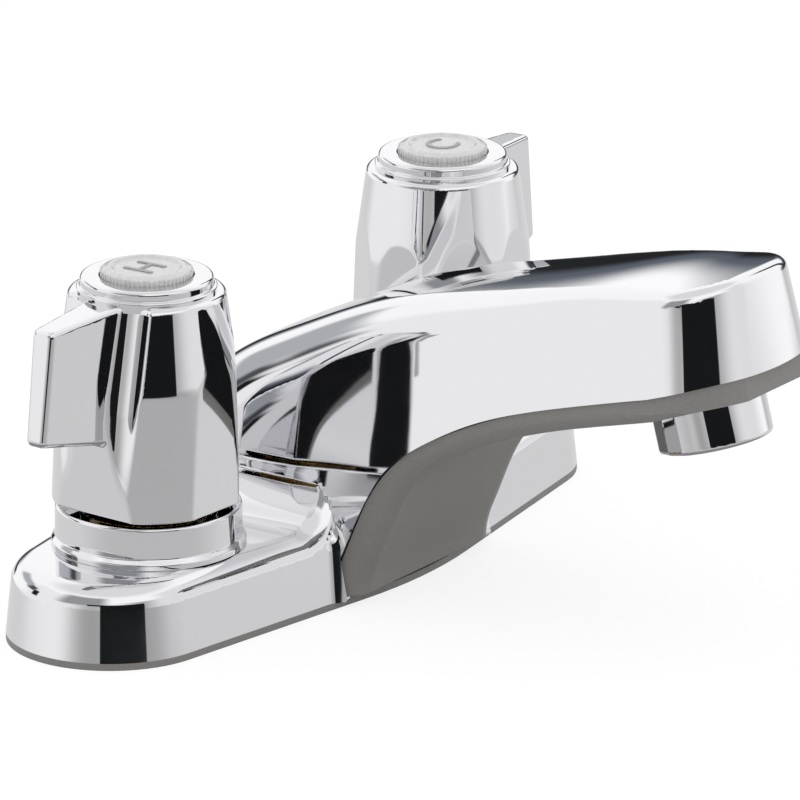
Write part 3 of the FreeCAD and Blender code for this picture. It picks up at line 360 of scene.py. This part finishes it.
def skin(field, low, high, step):
    """Meshes a form: one point in each grid cell that its surface crosses, moved onto it."""
    axes = [np.arange(a, b + step, step) for a, b in zip(low, high)]
    value = field(*np.meshgrid(*axes, indexing="ij", sparse=True))
    inside = value < 0
    corners = [np.array(c) for c in np.ndindex(2, 2, 2)]
    size = np.array(value.shape) - 1
    count = sum(inside[tuple(slice(c, c + n) for c, n in zip(corner, size))].astype(int)
                for corner in corners)
    cells = np.argwhere((count > 0) & (count < 8))
    number = np.full(count.shape, -1)
    number[tuple(cells.T)] = np.arange(len(cells))
    total, hits = np.zeros((len(cells), 3)), np.zeros((len(cells), 1))
    for corner in corners:
        for axis in np.flatnonzero(corner == 0):
            unit = np.eye(3, dtype=int)[axis]
            here = value[tuple((cells + corner).T)]
            there = value[tuple((cells + corner + unit).T)]
            crossed = (here < 0) != (there < 0)
            share = (here / np.where(crossed, here - there, 1))[:, None]
            total += np.where(crossed[:, None], cells + corner + share * unit, 0)
            hits += crossed[:, None]
    points = np.array(low) + step * total / hits
    for _ in range(5):
        off, normal = slope(field, points)
        points -= np.clip(off, -step, step) * normal
    normal = slope(field, points)[1]
    quads = []
    for axis in range(3):
        first, second = np.eye(3, dtype=int)[[(axis + 1) % 3, (axis + 2) % 3]]
        along = np.eye(3, dtype=int)[axis]
        lower = inside[tuple(slice(0, n + 1 - a) for n, a in zip(size, along))]
        upper = inside[tuple(slice(a, n + 1) for n, a in zip(size, along))]
        ends = np.argwhere(lower != upper)
        middle = ((ends >= first + second) & ((ends < size) | (along > 0))).all(axis=1)
        ends = ends[middle]
        ring = [number[tuple((ends - shift).T)]
                for shift in (first + second, second, 0 * first, first)]
        ring = np.stack(ring, axis=1)
        leaving = lower[tuple(ends.T)]
        quads.append(np.where(leaving[:, None], ring, ring[:, ::-1]))
    return points, normal, np.concatenate(quads)


def trimmed(field, points, quads, keep):
    """Cuts a skin along the line where keep is nought and keeps the side where it is above."""
    triangles = np.concatenate([quads[:, [0, 1, 2]], quads[:, [0, 2, 3]]])
    level = keep(*points.T)
    kept = level[triangles] > 0
    whole = triangles[kept.all(axis=1)].tolist()
    points, cuts = points.tolist(), {}
    for corners in triangles[kept.any(axis=1) & ~kept.all(axis=1)]:
        shape = []
        for a, b in zip(corners, np.roll(corners, -1)):
            if level[a] > 0:
                shape.append(int(a))
            if (level[a] > 0) != (level[b] > 0):
                edge = (min(a, b), max(a, b))
                if edge not in cuts:
                    c, d = edge
                    share = level[c] / (level[c] - level[d])
                    cuts[edge] = len(points)
                    points.append([p + share * (q - p) for p, q in zip(points[c], points[d])])
                shape.append(cuts[edge])
        whole += [[shape[0], shape[i], shape[i + 1]] for i in range(1, len(shape) - 1)]
    whole = np.array(whole)
    used, faces = np.unique(whole, return_inverse=True)
    points = np.array(points)[used]
    return points, slope(field, points)[1], faces.reshape(-1, 3)


def walled(points, normal, faces, wall):
    """Gives an open skin a wall of that thickness, closed by a lip along its edges."""
    sides = np.concatenate([faces[:, [0, 1]], faces[:, [1, 2]], faces[:, [2, 0]]])
    code = sides.min(axis=1) * len(points) + sides.max(axis=1)
    _, first, times = np.unique(code, return_index=True, return_counts=True)
    edge = sides[first[times == 1]]
    inner = len(points)
    lip = np.stack([edge[:, 1], edge[:, 0], edge[:, 0] + inner, edge[:, 1] + inner], axis=1)
    points = np.concatenate([points, points - normal * wall])
    normal = np.concatenate([normal, -normal])
    return points, normal, faces.tolist() + (faces[:, ::-1] + inner).tolist() + lip.tolist()


# A face is shaded smooth where the cosine between it and its surface's normal is above this
SMOOTH_FACE = 0.7


def new_piece(name, points, normal, faces, material):
    """A mesh in metres whose long smooth faces keep their true normals and whose lips stay flat."""
    mesh = bpy.data.meshes.new(name)
    mesh.from_pydata((np.asarray(points) * MM).tolist(), [], faces)
    mesh.materials.append(material)
    mesh.polygons.foreach_set("use_smooth", np.ones(len(faces), bool))
    corner = np.zeros(len(mesh.loops), int)
    mesh.loops.foreach_get("vertex_index", corner)
    flat = np.zeros(len(faces) * 3)
    mesh.polygons.foreach_get("normal", flat)
    flat = flat.reshape(-1, 3)
    sides = np.zeros(len(faces), int)
    mesh.polygons.foreach_get("loop_total", sides)
    flat = np.repeat(flat, sides, axis=0)
    true = np.asarray(normal)[corner]
    agree = (flat * true).sum(axis=1, keepdims=True) > SMOOTH_FACE
    mesh.normals_split_custom_set(np.where(agree, true, flat).tolist())
    mesh.update()
    item = bpy.data.objects.new(name, mesh)
    bpy.context.scene.collection.objects.link(item)
    return item


def shell_keep(x, y, z):
    """Above the rim, outside the notch for the grey underbody and off the valve holes."""
    share, rise, _ = spout_place(y - bow(x, y), z)
    band = ROOT_BAND + (TIP_BAND - ROOT_BAND) * share
    hole = np.hypot(np.abs(x) - HANDLE_X, y) - VALVE_HOLE_RADIUS
    return np.minimum(np.minimum(z - RIM_HEIGHT, np.maximum(rise - band, np.abs(x) - NOTCH_HALF)),
                      hole)


# Chrome plate: a clear mirror with a cool white tone and the faintest waver in its polish
chrome, tree, shader, place = new_material("bright_chrome", Metallic=1.0,
                                           Base_Color=linear("#E6E6E8"))
tree.links.new(vary(tree, place, 60.0, 0.02, 0.05), shader.inputs["Roughness"])
points, normal, quads = skin(shell_form, SHELL_LOW, SHELL_HIGH, SHELL_GRID)
points, normal, faces = trimmed(shell_form, points, quads, shell_keep)
shell = new_piece("polished_shell", *walled(points, normal, faces, SHELL_WALL), chrome)
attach(shell, "base")
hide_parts("chrome_shell")

# Handles: zinc knobs with a barrel, cut flats and one tapering wing, plated as the shell is.
# Each has a turned platform ring on top and is open below, where a hub grips the stem.
HANDLE_FOOT, SHOULDER, HANDLE_TOP = 25.3, 67.0, 69.9
# Reach of the barrel and of each cut from the axis, at its drop below the shoulder
BARREL_UPPER, BARREL_LOWER = ((15.2, 0.0), (17.5, 16.3)), ((17.5, 16.3), (18.7, 41.7))
BROAD_FLAT = ((15.2, 0.0), (16.82, 12.2), (17.2, 42.7))
NARROW_FLAT = ((15.35, 0.0), (16.62, 9.5), (16.85, 42.7))
FOOT_FLAT = ((17.0, 30.0), (16.2, 42.7))
FLAT_DEGREES = (90, 135, 180, 225, 270)
KNEE_BLEND, RIDGE_BLEND = 0.15, 0.2
# A cove runs down each side of the wing and fades out: the slopes of its floor, its section
COVE_UPPER, COVE_LOWER = ((12.2, -1.0), (14.6, 19.0)), ((14.6, 19.0), (17.4, 34.0))
COVE_HOLLOW, COVE_MIDDLE, COVE_BLEND = 5.9, 8.6, 0.45
SHOULDER_ROUND, MOUTH_ROUND = 1.0, 0.3
WING_OUTER = ((31.2, 1.2), (34.0, 23.5))
WING_UNDER = ((34.0, 23.5), (12.6, 27.6))
WING_TOP_START, WING_TOP_FALL = 14.0, 0.07
WING_END_THICKNESS = 5.0
WING_TAPER = math.radians(5.5)
WING_EDGE, WING_ROOT = 1.2, 0.5
SKIRT_FOOT_RADIUS, SKIRT_TOP_RADIUS, SKIRT_TOP = 13.0, 11.6, 54.0
WELL_RADIUS, WELL_FLOOR = 9.6, 65.9
WING_TURN = {"hot": 176.0, "cold": 4.0}
HANDLE_LOW, HANDLE_HIGH, HANDLE_GRID = (-19.9, -19.9, 24.6), (35.3, 19.9, 68.3), 0.45


def eased(a, b, blend):
    """Two nearly parallel surfaces that meet in a soft outside edge."""
    return np.maximum(a, b) + np.maximum(blend - np.abs(a - b), 0) ** 2 / (4 * blend)


def plane(reach, drop, start, end):
    """Distance outside the flat that runs from one point to another down a profile."""
    run, fall = end[0] - start[0], end[1] - start[1]
    return ((reach - start[0]) * fall - (drop - start[1]) * run) / math.hypot(run, fall)


def handle_form(u, w, z):
    """A handle about its own axis, with the wing along u."""
    drop = SHOULDER - z
    radius = np.hypot(u, w)
    knob = eased(plane(radius, drop, *BARREL_UPPER), plane(radius, drop, *BARREL_LOWER),
                 KNEE_BLEND)
    for degrees in FLAT_DEGREES:
        turn = math.radians(degrees)
        reach = u * math.cos(turn) + w * math.sin(turn)
        top, knee, foot = BROAD_FLAT if degrees % 90 == 0 else NARROW_FLAT
        flat = eased(plane(reach, drop, top, knee), plane(reach, drop, knee, foot), KNEE_BLEND)
        knob = eased(knob, flat, RIDGE_BLEND)
    knob = eased(knob, plane(u, drop, *FOOT_FLAT), RIDGE_BLEND)
    depth = eased(plane(u, drop, *COVE_UPPER), plane(u, drop, *COVE_LOWER), KNEE_BLEND)
    cove = COVE_HOLLOW - np.hypot(depth - COVE_HOLLOW, np.abs(w) - COVE_MIDDLE)
    knob = eased(knob, cove, COVE_BLEND)
    outer, under = plane(u, drop, *WING_OUTER), plane(u, drop, *WING_UNDER)
    thick = WING_END_THICKNESS / 2 + (WING_OUTER[0][0] - u) * math.tan(WING_TAPER)
    wing = round_max((np.abs(w) - thick) * math.cos(WING_TAPER), outer, WING_EDGE)
    wing = round_max(wing, np.maximum(under, -u), WING_EDGE)
    top = -drop + np.maximum(u - WING_TOP_START, 0) * WING_TOP_FALL
    form = round_max(faired(knob, wing, WING_ROOT), top, SHOULDER_ROUND)
    form = round_max(form, HANDLE_FOOT - z, MOUTH_ROUND)
    skirt = SKIRT_FOOT_RADIUS + (SKIRT_TOP_RADIUS - SKIRT_FOOT_RADIUS) \
        * (z - HANDLE_FOOT) / (SKIRT_TOP - HANDLE_FOOT)
    hollow = np.maximum(radius - skirt, z - SKIRT_TOP)
    well = np.maximum(radius - WELL_RADIUS, WELL_FLOOR - z)
    return round_max(form, -np.minimum(hollow, well), MOUTH_ROUND)


# How finely a lathe turns: its steps round the axis, and the bend between points on a round corner
LATHE_STEPS, LATHE_BEND = 160, math.radians(9)


def lathe(profile, steps=LATHE_STEPS):
    """Turns a closed profile of (radius, height, corner round) about Z, with its true normals."""
    spots, count = [], len(profile)
    for i, (r, z, corner) in enumerate(profile):
        here = np.array([r, z])
        before = here - profile[i - 1][:2]
        after = np.array(profile[(i + 1) % count][:2]) - here
        before, after = before / np.hypot(*before), after / np.hypot(*after)
        bend = math.atan2(before[0] * after[1] - before[1] * after[0], before @ after)
        pieces = max(1, math.ceil(abs(bend) / LATHE_BEND)) if corner else 1
        cut = corner * math.tan(abs(bend) / 2)
        swing = corner * math.copysign(1, bend)
        centre = here - before * cut + swing * np.array([-before[1], before[0]])
        out = np.array([before[1], -before[0]])
        for k in range(pieces + 1):
            angle = bend * k / pieces
            side = np.array([out[0] * math.cos(angle) - out[1] * math.sin(angle),
                             out[0] * math.sin(angle) + out[1] * math.cos(angle)])
            spots.append((centre + swing * side if corner else here, side))
    turn = np.arange(steps) * math.tau / steps
    ring = np.stack([np.cos(turn), np.sin(turn)], axis=1)
    points, normal = [], []
    for spot, side in spots:
        points.append(np.column_stack([ring * max(spot[0], 0), np.full(steps, spot[1])]))
        normal.append(np.column_stack([ring * side[0], np.full(steps, side[1])]))
    rows = len(spots)
    faces = []
    for i in range(rows):
        j = (i + 1) % rows
        if np.allclose(spots[i][0], spots[j][0]) or max(spots[i][0][0], spots[j][0][0]) < 1e-6:
            continue
        for a in range(steps):
            b = (a + 1) % steps
            faces.append([i * steps + a, i * steps + b, j * steps + b, j * steps + a])
    return np.concatenate(points), np.concatenate(normal), faces


def together(*meshes):
    """Several meshes as one."""
    points, normal, faces, start = [], [], [], 0
    for spots, sides, polygons in meshes:
        points.append(spots)
        normal.append(sides)
        faces += [[c + start for c in polygon] for polygon in polygons]
        start += len(spots)
    return np.concatenate(points), np.concatenate(normal), faces


PLATFORM_RADIUS, COVE_RADIUS, COVE_LIFT = 12.9, 13.6, 0.9
BUTTON_RADIUS, BUTTON_TOP, BUTTON_FIT = 9.02, 71.5, 0.15
platform = lathe([
    (BUTTON_RADIUS + BUTTON_FIT, WELL_FLOOR, 0),
    (COVE_RADIUS, WELL_FLOOR, 0),
    (COVE_RADIUS, SHOULDER + COVE_LIFT, 0.35),
    (PLATFORM_RADIUS, SHOULDER + COVE_LIFT, 0.3),
    (PLATFORM_RADIUS, HANDLE_TOP, 0.8),
    (BUTTON_RADIUS + BUTTON_FIT, HANDLE_TOP, 0.2),
])
points, normal, quads = skin(handle_form, HANDLE_LOW, HANDLE_HIGH, HANDLE_GRID)
points, normal, faces = together((points, normal, quads.tolist()), platform)
for side, axis_x in (("hot", -HANDLE_X), ("cold", HANDLE_X)):
    turn = math.radians(WING_TURN[side])
    spin = np.array([[math.cos(turn), math.sin(turn), 0], [-math.sin(turn), math.cos(turn), 0],
                     [0, 0, 1]])
    knob = new_piece(side + "_winged_knob", points @ spin + (axis_x, 0, 0), normal @ spin,
                     faces, chrome)
    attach(knob, side + "_control")
    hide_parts(side + "_handle")

# Collars: turned and plated brass cups that cover the valves, with a flared foot on the base
COLLAR_TOP, COLLAR_RADIUS, COLLAR_TOP_RADIUS, COLLAR_WALL = 24.2, 18.6, 18.1, 2.0
COLLAR_MOUTH, COLLAR_LIP = 13.2, 0.9
COLLAR_FLARE, COLLAR_FLARE_HEIGHT, COLLAR_WAIST, COLLAR_WAIST_HEIGHT = 0.3, 1.1, 0.4, 2.0
for side, axis_x in (("hot", -HANDLE_X), ("cold", HANDLE_X)):
    points, normal, faces = lathe([
        (COLLAR_RADIUS - COLLAR_WALL, BASE_HEIGHT, 0),
        (COLLAR_RADIUS + COLLAR_FLARE, BASE_HEIGHT, 0.2),
        (COLLAR_RADIUS + COLLAR_FLARE, BASE_HEIGHT + COLLAR_FLARE_HEIGHT, 0.5),
        (COLLAR_RADIUS - COLLAR_WAIST, BASE_HEIGHT + COLLAR_WAIST_HEIGHT, 0.6),
        (COLLAR_TOP_RADIUS, COLLAR_TOP, 0.6),
        (COLLAR_MOUTH, COLLAR_TOP, 0.2),
        (COLLAR_MOUTH, COLLAR_TOP - COLLAR_LIP, 0),
        (COLLAR_TOP_RADIUS - COLLAR_WALL, COLLAR_TOP - COLLAR_LIP, 0),
    ])
    collar = new_piece(side + "_turned_collar", points + (axis_x, 0, 0), normal, faces, chrome)
    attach(collar, "base")
    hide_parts(side + "_collar")

# Index buttons: clear acrylic, moulded with a frosted face, a ribbed edge and a raised ring, and
# pressed into the handle's well over a printed disc. Each carries a plain moulded letter.
BUTTON_FOOT, BUTTON_CORE = 66.6, 8.74
BUTTON_RING, BUTTON_FIELD, FIELD_DROP = 7.2, 6.2, 0.45
RIB_COUNT, RIB_SIDES, RIB_RADIUS, RIB_DROP = 60, 8, 0.25, 0.6
EDGE_BEVEL, RING_HALF, BUTTON_STEPS = 0.45, 0.3, 96
# A font's size in Blender is FONT_SCALE times the height of its capital letters
LETTER_HEIGHT, LETTER_RELIEF, FONT_SCALE = 7.0, 0.22, 1.35
FROST_DEPTH = 0.03 * MM
LETTERS = {"hot": "H", "cold": "C"}

# The acrylic looks milky and half clear, a shade greyer than paper, with a wet gloss
acrylic, tree, shader, place = new_material("frosted_acrylic", Roughness=0.14, IOR=1.49,
                                            Transmission_Weight=0.15)
cloud = vary(tree, place, 900.0, 0.0, 1.0)
tree.links.new(tint(tree, cloud, "#F4F4F2", "#E4E5E5"), shader.inputs["Base Color"])
relief(tree, shader, cloud, FROST_DEPTH)
# The letter stands a shade darker than the button, and the disc is pale printed card
letter_grey = new_material("moulded_letter", Roughness=0.3, Base_Color=linear("#A4A5A6"))[0]
paper, tree, shader, place = new_material("printed_disc", Roughness=0.4)
tree.links.new(tint(tree, vary(tree, place, 1500.0, 0.0, 1.0), "#D4D3D0", "#C8C7C4"),
               shader.inputs["Base Color"])
dress(paper, "hot_index_disc", "cold_index_disc")


def finished(item):
    """The mesh that an object's modifiers or curve make, with the object itself taken away."""
    bpy.context.scene.collection.objects.link(item)
    ready = item.evaluated_get(bpy.context.evaluated_depsgraph_get())
    mesh = bpy.data.meshes.new_from_object(ready)
    bpy.data.objects.remove(item)
    return mesh


def settled(name, mesh, place, body, material):
    """Puts a made mesh in its place and lets it ride on a body."""
    mesh.transform(Matrix.Translation(place))
    mesh.materials.clear()
    mesh.materials.append(material)
    item = bpy.data.objects.new(name, mesh)
    bpy.context.scene.collection.objects.link(item)
    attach(item, body)


ribs = bpy.data.node_groups.new("button_ribs", "GeometryNodeTree")
ribs.interface.new_socket("Geometry", in_out="OUTPUT", socket_type="NodeSocketGeometry")
sizes = {"Ribs": RIB_COUNT, "Ring Radius": BUTTON_CORE * MM, "Rib Radius": RIB_RADIUS * MM,
         "Rib Height": (BUTTON_TOP - RIB_DROP - BUTTON_FOOT) * MM}
sockets = {size: ribs.interface.new_socket(size, in_out="INPUT", socket_type=kind).identifier
           for size, kind in zip(sizes, ["NodeSocketInt"] + ["NodeSocketFloat"] * 3)}
given = add(ribs, "NodeGroupInput").outputs
ring = add(ribs, "GeometryNodeMeshCircle", {"Vertices": given["Ribs"],
                                            "Radius": given["Ring Radius"]})
rib = add(ribs, "GeometryNodeMeshCylinder", {"Radius": given["Rib Radius"],
                                             "Depth": given["Rib Height"]},
          in_Vertices=RIB_SIDES)
row = add(ribs, "GeometryNodeInstanceOnPoints", {"Points": ring.outputs["Mesh"],
                                                 "Instance": rib.outputs["Mesh"]})
row = add(ribs, "GeometryNodeRealizeInstances", {"Geometry": row.outputs["Instances"]})
row = add(ribs, "GeometryNodeSetMaterial", {"Geometry": row.outputs["Geometry"]},
          in_Material=acrylic)
add(ribs, "NodeGroupOutput", {"Geometry": row.outputs["Geometry"]})

for side, axis_x in (("hot", -HANDLE_X), ("cold", HANDLE_X)):
    points, normal, faces = lathe([
        (0, BUTTON_FOOT, 0),
        (BUTTON_CORE, BUTTON_FOOT, 0.2),
        (BUTTON_CORE, BUTTON_TOP - EDGE_BEVEL, 0.4),
        (BUTTON_RING + RING_HALF, BUTTON_TOP, 0.3),
        (BUTTON_RING - RING_HALF, BUTTON_TOP, 0.3),
        (BUTTON_FIELD, BUTTON_TOP - FIELD_DROP, 0.3),
        (0, BUTTON_TOP - FIELD_DROP, 0),
    ], BUTTON_STEPS)
    button = new_piece(side + "_button", points + (axis_x, 0, 0), normal, faces, acrylic)
    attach(button, side + "_control")
    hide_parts(side + "_index_button")
    edge = bpy.data.objects.new("edge", bpy.data.meshes.new("edge"))
    modifier = edge.modifiers.new("ribs", "NODES")
    modifier.node_group = ribs
    for size, value in sizes.items():
        modifier[sockets[size]] = value
    middle = (BUTTON_FOOT + BUTTON_TOP - RIB_DROP) / 2
    settled(side + "_button_ribs", finished(edge), (axis_x * MM, 0, middle * MM),
            side + "_control", acrylic)
    letter = bpy.data.curves.new("letter", "FONT")
    letter.body, letter.size = LETTERS[side], LETTER_HEIGHT * FONT_SCALE * MM
    letter.extrude = LETTER_RELIEF * MM
    letter.align_x, letter.align_y = "CENTER", "CENTER"
    settled(side + "_letter", finished(bpy.data.objects.new("letter", letter)),
            (axis_x * MM, 0, (BUTTON_TOP - FIELD_DROP) * MM), side + "_control", letter_grey)

# Aerator: a turned and plated brass sleeve screwed on the outlet, with milled wrench flats.
# It leans forward with the outlet and stands a little out of the grey underbody.
OUTLET_PLACE, OUTLET_LEAN = (0.0, -97.4, 40.1), math.radians(15)
AERATOR_RADIUS, AERATOR_HEIGHT, AERATOR_MOUTH, AERATOR_BORE = 11.2, 9.0, 8.4, 9.6
LIP_DEPTH, FLAT_REACH, FLAT_TURNS = 1.2, 10.9, (math.radians(-34), math.radians(-16))
FLAT_BLEND, LOW_ROUND, TOP_ROUND = 0.1, 0.9, 0.3
AERATOR_LOW, AERATOR_HIGH, AERATOR_GRID = (-11.9, -110.9, 35.9), (11.9, -83.5, 52.9), 0.4


def aerator_form(x, y, z):
    """The sleeve in its own leaning frame: a round with flats, bored from its mouth to its top."""
    y, z = y - OUTLET_PLACE[1], z - OUTLET_PLACE[2]
    across = y * math.cos(OUTLET_LEAN) - z * math.sin(OUTLET_LEAN)
    rise = y * math.sin(OUTLET_LEAN) + z * math.cos(OUTLET_LEAN)
    radius = np.hypot(x, across)
    side = radius - AERATOR_RADIUS
    for turn in FLAT_TURNS:
        flat = np.abs(x * math.cos(turn) + across * math.sin(turn)) - FLAT_REACH
        side = eased(side, flat, FLAT_BLEND)
    form = round_max(round_max(side, -rise, LOW_ROUND), rise - AERATOR_HEIGHT, TOP_ROUND)
    wide = np.maximum(radius - AERATOR_BORE, LIP_DEPTH - rise)
    return round_max(form, np.maximum(AERATOR_MOUTH - radius, -wide), TOP_ROUND)


aerator = new_piece("plated_aerator",
                    *skin(aerator_form, AERATOR_LOW, AERATOR_HIGH, AERATOR_GRID), chrome)
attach(aerator, "base")
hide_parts("aerator_housing")

# Studio: the camera stands where the photograph's did. The floor and the backdrop are white, and
# the chrome mirrors a ring of soft boxes, grey walls and one tall black card beside the camera.
# The camera's place and lens come from the photograph's perspective; the framing shifts its aim
CAMERA_AZIMUTH, CAMERA_HEIGHT = math.radians(-55.845), math.radians(17.77)
CAMERA_DISTANCE = 1833.65
CAMERA_AIM = (0.0, -30.0, 30.0)
FRAMING_RIGHT, FRAMING_UP = -4.825, 6.068
SENSOR, LENS, VIEW_END = 36.0, 422.34, 100.0
AMBIENT = 0.9
FLOOR_HALF = 3.0
FLOOR_GLOW, FLOOR_SHADE = 0.82, 0.24

back = np.array([math.sin(CAMERA_AZIMUTH) * math.cos(CAMERA_HEIGHT),
                 -math.cos(CAMERA_AZIMUTH) * math.cos(CAMERA_HEIGHT), math.sin(CAMERA_HEIGHT)])
right = np.array([math.cos(CAMERA_AZIMUTH), math.sin(CAMERA_AZIMUTH), 0.0])
up = np.cross(back, right)
aim = np.array(CAMERA_AIM) + right * FRAMING_RIGHT + up * FRAMING_UP
camera = bpy.data.objects.new("studio_camera", bpy.data.cameras.new("studio_camera"))
camera.data.sensor_width, camera.data.lens, camera.data.clip_end = SENSOR, LENS, VIEW_END
bpy.context.scene.collection.objects.link(camera)
turn = Matrix([list(right), list(up), list(back)]).transposed().to_4x4()
camera.matrix_world = Matrix.Translation(list((aim + back * CAMERA_DISTANCE) * MM)) @ turn
bpy.context.scene.camera = camera

mesh = bpy.data.meshes.new("floor")
corners = ((-1, -1), (1, -1), (1, 1), (-1, 1))
mesh.from_pydata([(x * FLOOR_HALF, y * FLOOR_HALF, 0) for x, y in corners], [], [(0, 1, 2, 3)])
floor = bpy.data.objects.new("floor", mesh)
bpy.context.scene.collection.objects.link(floor)
floor.visible_glossy = False
# To the camera the floor is white, and darkens a little where the object keeps the light from it
white_floor, tree, shader, place = new_material("white_floor", Roughness=0.9,
                                                Base_Color=linear("#F2F2F2"))
mesh.materials.append(white_floor)
seen = add(tree, "ShaderNodeLightPath").outputs
glow = add(tree, "ShaderNodeEmission", in_Color=(1, 1, 1, 1), in_Strength=FLOOR_GLOW)
shade = add(tree, "ShaderNodeBsdfDiffuse", in_Color=(FLOOR_SHADE, FLOOR_SHADE, FLOOR_SHADE, 1))
both = add(tree, "ShaderNodeAddShader", {0: glow.outputs[0], 1: shade.outputs[0]})
either = add(tree, "ShaderNodeMath", {0: seen["Is Camera Ray"],
                                      1: seen["Is Transmission Ray"]}, operation="MAXIMUM")
mix = add(tree, "ShaderNodeMixShader", {0: either.outputs[0], 1: shader.outputs[0],
                                        2: both.outputs[0]})
tree.links.new(mix.outputs[0], tree.nodes["Material Output"].inputs["Surface"])

# What the chrome mirrors: each row is a stretch of azimuth from the camera's own and of
# elevation, in degrees, the width of its soft edges, and its tone. Later rows lie over earlier.
MIRRORED = (
    (-400, 400, -95, -8, 3, 4, "#CBCBCB"),
    (-70, 80, -30, -8, 60, 8, "#B6B6B6"),
    (-50, 70, -15, -7, 40, 5, "#A8A8A8"),
    (-120, -44, -12, -3, 40, 5, "#E6E6E6"),
    (-400, 400, -95, -34, 3, 14, "#7F7F80"),
    (-400, 400, 55, 95, 3, 20, "#D6D6D7"),
    (-112, -50, -7, 42, 16, 6, "#E7E6E6"),
    (60, 104, -8, 45, 30, 10, "#DADADB"),
    (20, 50, -9, 24, 48, 5, "#8E8E8E"),
    (-36, -4, -9, 9, 56, 4, "#8C8C8B"),
    (-62, -6, 9, 48, 20, 8, "#909194"),
    (-101, -92, 2, 20, 3, 5, "#191A1B"),
    (-116, -100, 14, 27, 7, 5, "#4A4C50"),
    (-146, -112, 18, 31, 8, 6, "#A8AAAE"),
    (128, 240, -7, 9, 16, 9, "#555A63"),
    (-240, -160, -7, 9, 16, 9, "#555A63"),
    (150, 210, -5, 2.5, 6, 4, "#222324"),
    (-210, -150, -5, 2.5, 6, 4, "#222324"),
    (140, 151, -5, 38, 3, 6, "#3A3B3D"),
    (-12, 38, -8.4, 15, 1.2, 1, "#161718"),
    (-27, -8, 8, 15, 3, 2, "#161718"),
)
WHITE_WALL = "#F4F4F4"
# The share of the light that the chrome gives back, so that a tone above is seen as it is written
CHROME_SHARE = 0.79

world = bpy.data.worlds.new("studio")
bpy.context.scene.world = world
world.use_nodes = True
tree = world.node_tree
way = add(tree, "ShaderNodeTexCoord").outputs["Generated"]


def along(direction):
    """How far the view direction runs along another one."""
    dot = add(tree, "ShaderNodeVectorMath", {0: way}, operation="DOT_PRODUCT")
    dot.inputs[1].default_value = direction
    return dot.outputs["Value"]


def reckon(operation, a, b=0.0):
    """One step of arithmetic on numbers or sockets."""
    node = add(tree, "ShaderNodeMath", operation=operation)
    for socket, value in zip(node.inputs, (a, b)):
        if isinstance(value, (int, float)):
            socket.default_value = value
        else:
            tree.links.new(value, socket)
    return node.outputs[0]


def ramp(value, start, end):
    """Goes smoothly from nought at start to one at end."""
    node = add(tree, "ShaderNodeMapRange", {"Value": value}, interpolation_type="SMOOTHSTEP",
               in_From_Min=min(start, end), in_From_Max=max(start, end))
    node.inputs["To Min"].default_value, node.inputs["To Max"].default_value = \
        (0.0, 1.0) if start < end else (1.0, 0.0)
    return node.outputs["Result"]


def mirrored_tone(colour):
    """The light that a wall has to give for the chrome to show that colour."""
    return [part / CHROME_SHARE for part in linear(colour)[:3]] + [1]


ahead = along((math.sin(CAMERA_AZIMUTH), -math.cos(CAMERA_AZIMUTH), 0))
aside = along((math.cos(CAMERA_AZIMUTH), math.sin(CAMERA_AZIMUTH), 0))
azimuth = reckon("DEGREES", reckon("ARCTAN2", aside, ahead))
elevation = reckon("DEGREES", reckon("ARCSINE", along((0, 0, 1))))
tone = None
for left, right_end, low, high, side_edge, rise_edge, colour in MIRRORED:
    inside = ramp(elevation, low - rise_edge / 2, low + rise_edge / 2)
    inside = reckon("MULTIPLY", inside, ramp(elevation, high + rise_edge / 2, high - rise_edge / 2))
    inside = reckon("MULTIPLY", inside, ramp(azimuth, left - side_edge / 2, left + side_edge / 2))
    inside = reckon("MULTIPLY", inside,
                    ramp(azimuth, right_end + side_edge / 2, right_end - side_edge / 2))
    mix = add(tree, "ShaderNodeMix", data_type="RGBA")
    tree.links.new(inside, mix.inputs["Factor"])
    mix.inputs["B"].default_value = mirrored_tone(colour)
    if tone is None:
        mix.inputs["A"].default_value = mirrored_tone(WHITE_WALL)
    else:
        tree.links.new(tone, mix.inputs["A"])
    tone = mix.outputs["Result"]
# The camera sees a white wall, glossy surfaces see the tones, and the rest gets even light
seen = add(tree, "ShaderNodeLightPath").outputs
plain = add(tree, "ShaderNodeMix", data_type="RGBA")
tree.links.new(reckon("MAXIMUM", seen["Is Camera Ray"], seen["Is Transmission Ray"]),
               plain.inputs["Factor"])
plain.inputs["A"].default_value = (AMBIENT, AMBIENT, AMBIENT, 1)
plain.inputs["B"].default_value = (1, 1, 1, 1)
shown = add(tree, "ShaderNodeMix", data_type="RGBA")
tree.links.new(seen["Is Glossy Ray"], shown.inputs["Factor"])
tree.links.new(plain.outputs["Result"], shown.inputs["A"])
tree.links.new(tone, shown.inputs["B"])
tree.links.new(shown.outputs["Result"], tree.nodes["Background"].inputs["Color"])
bpy.context.scene.view_settings.view_transform = "Standard"
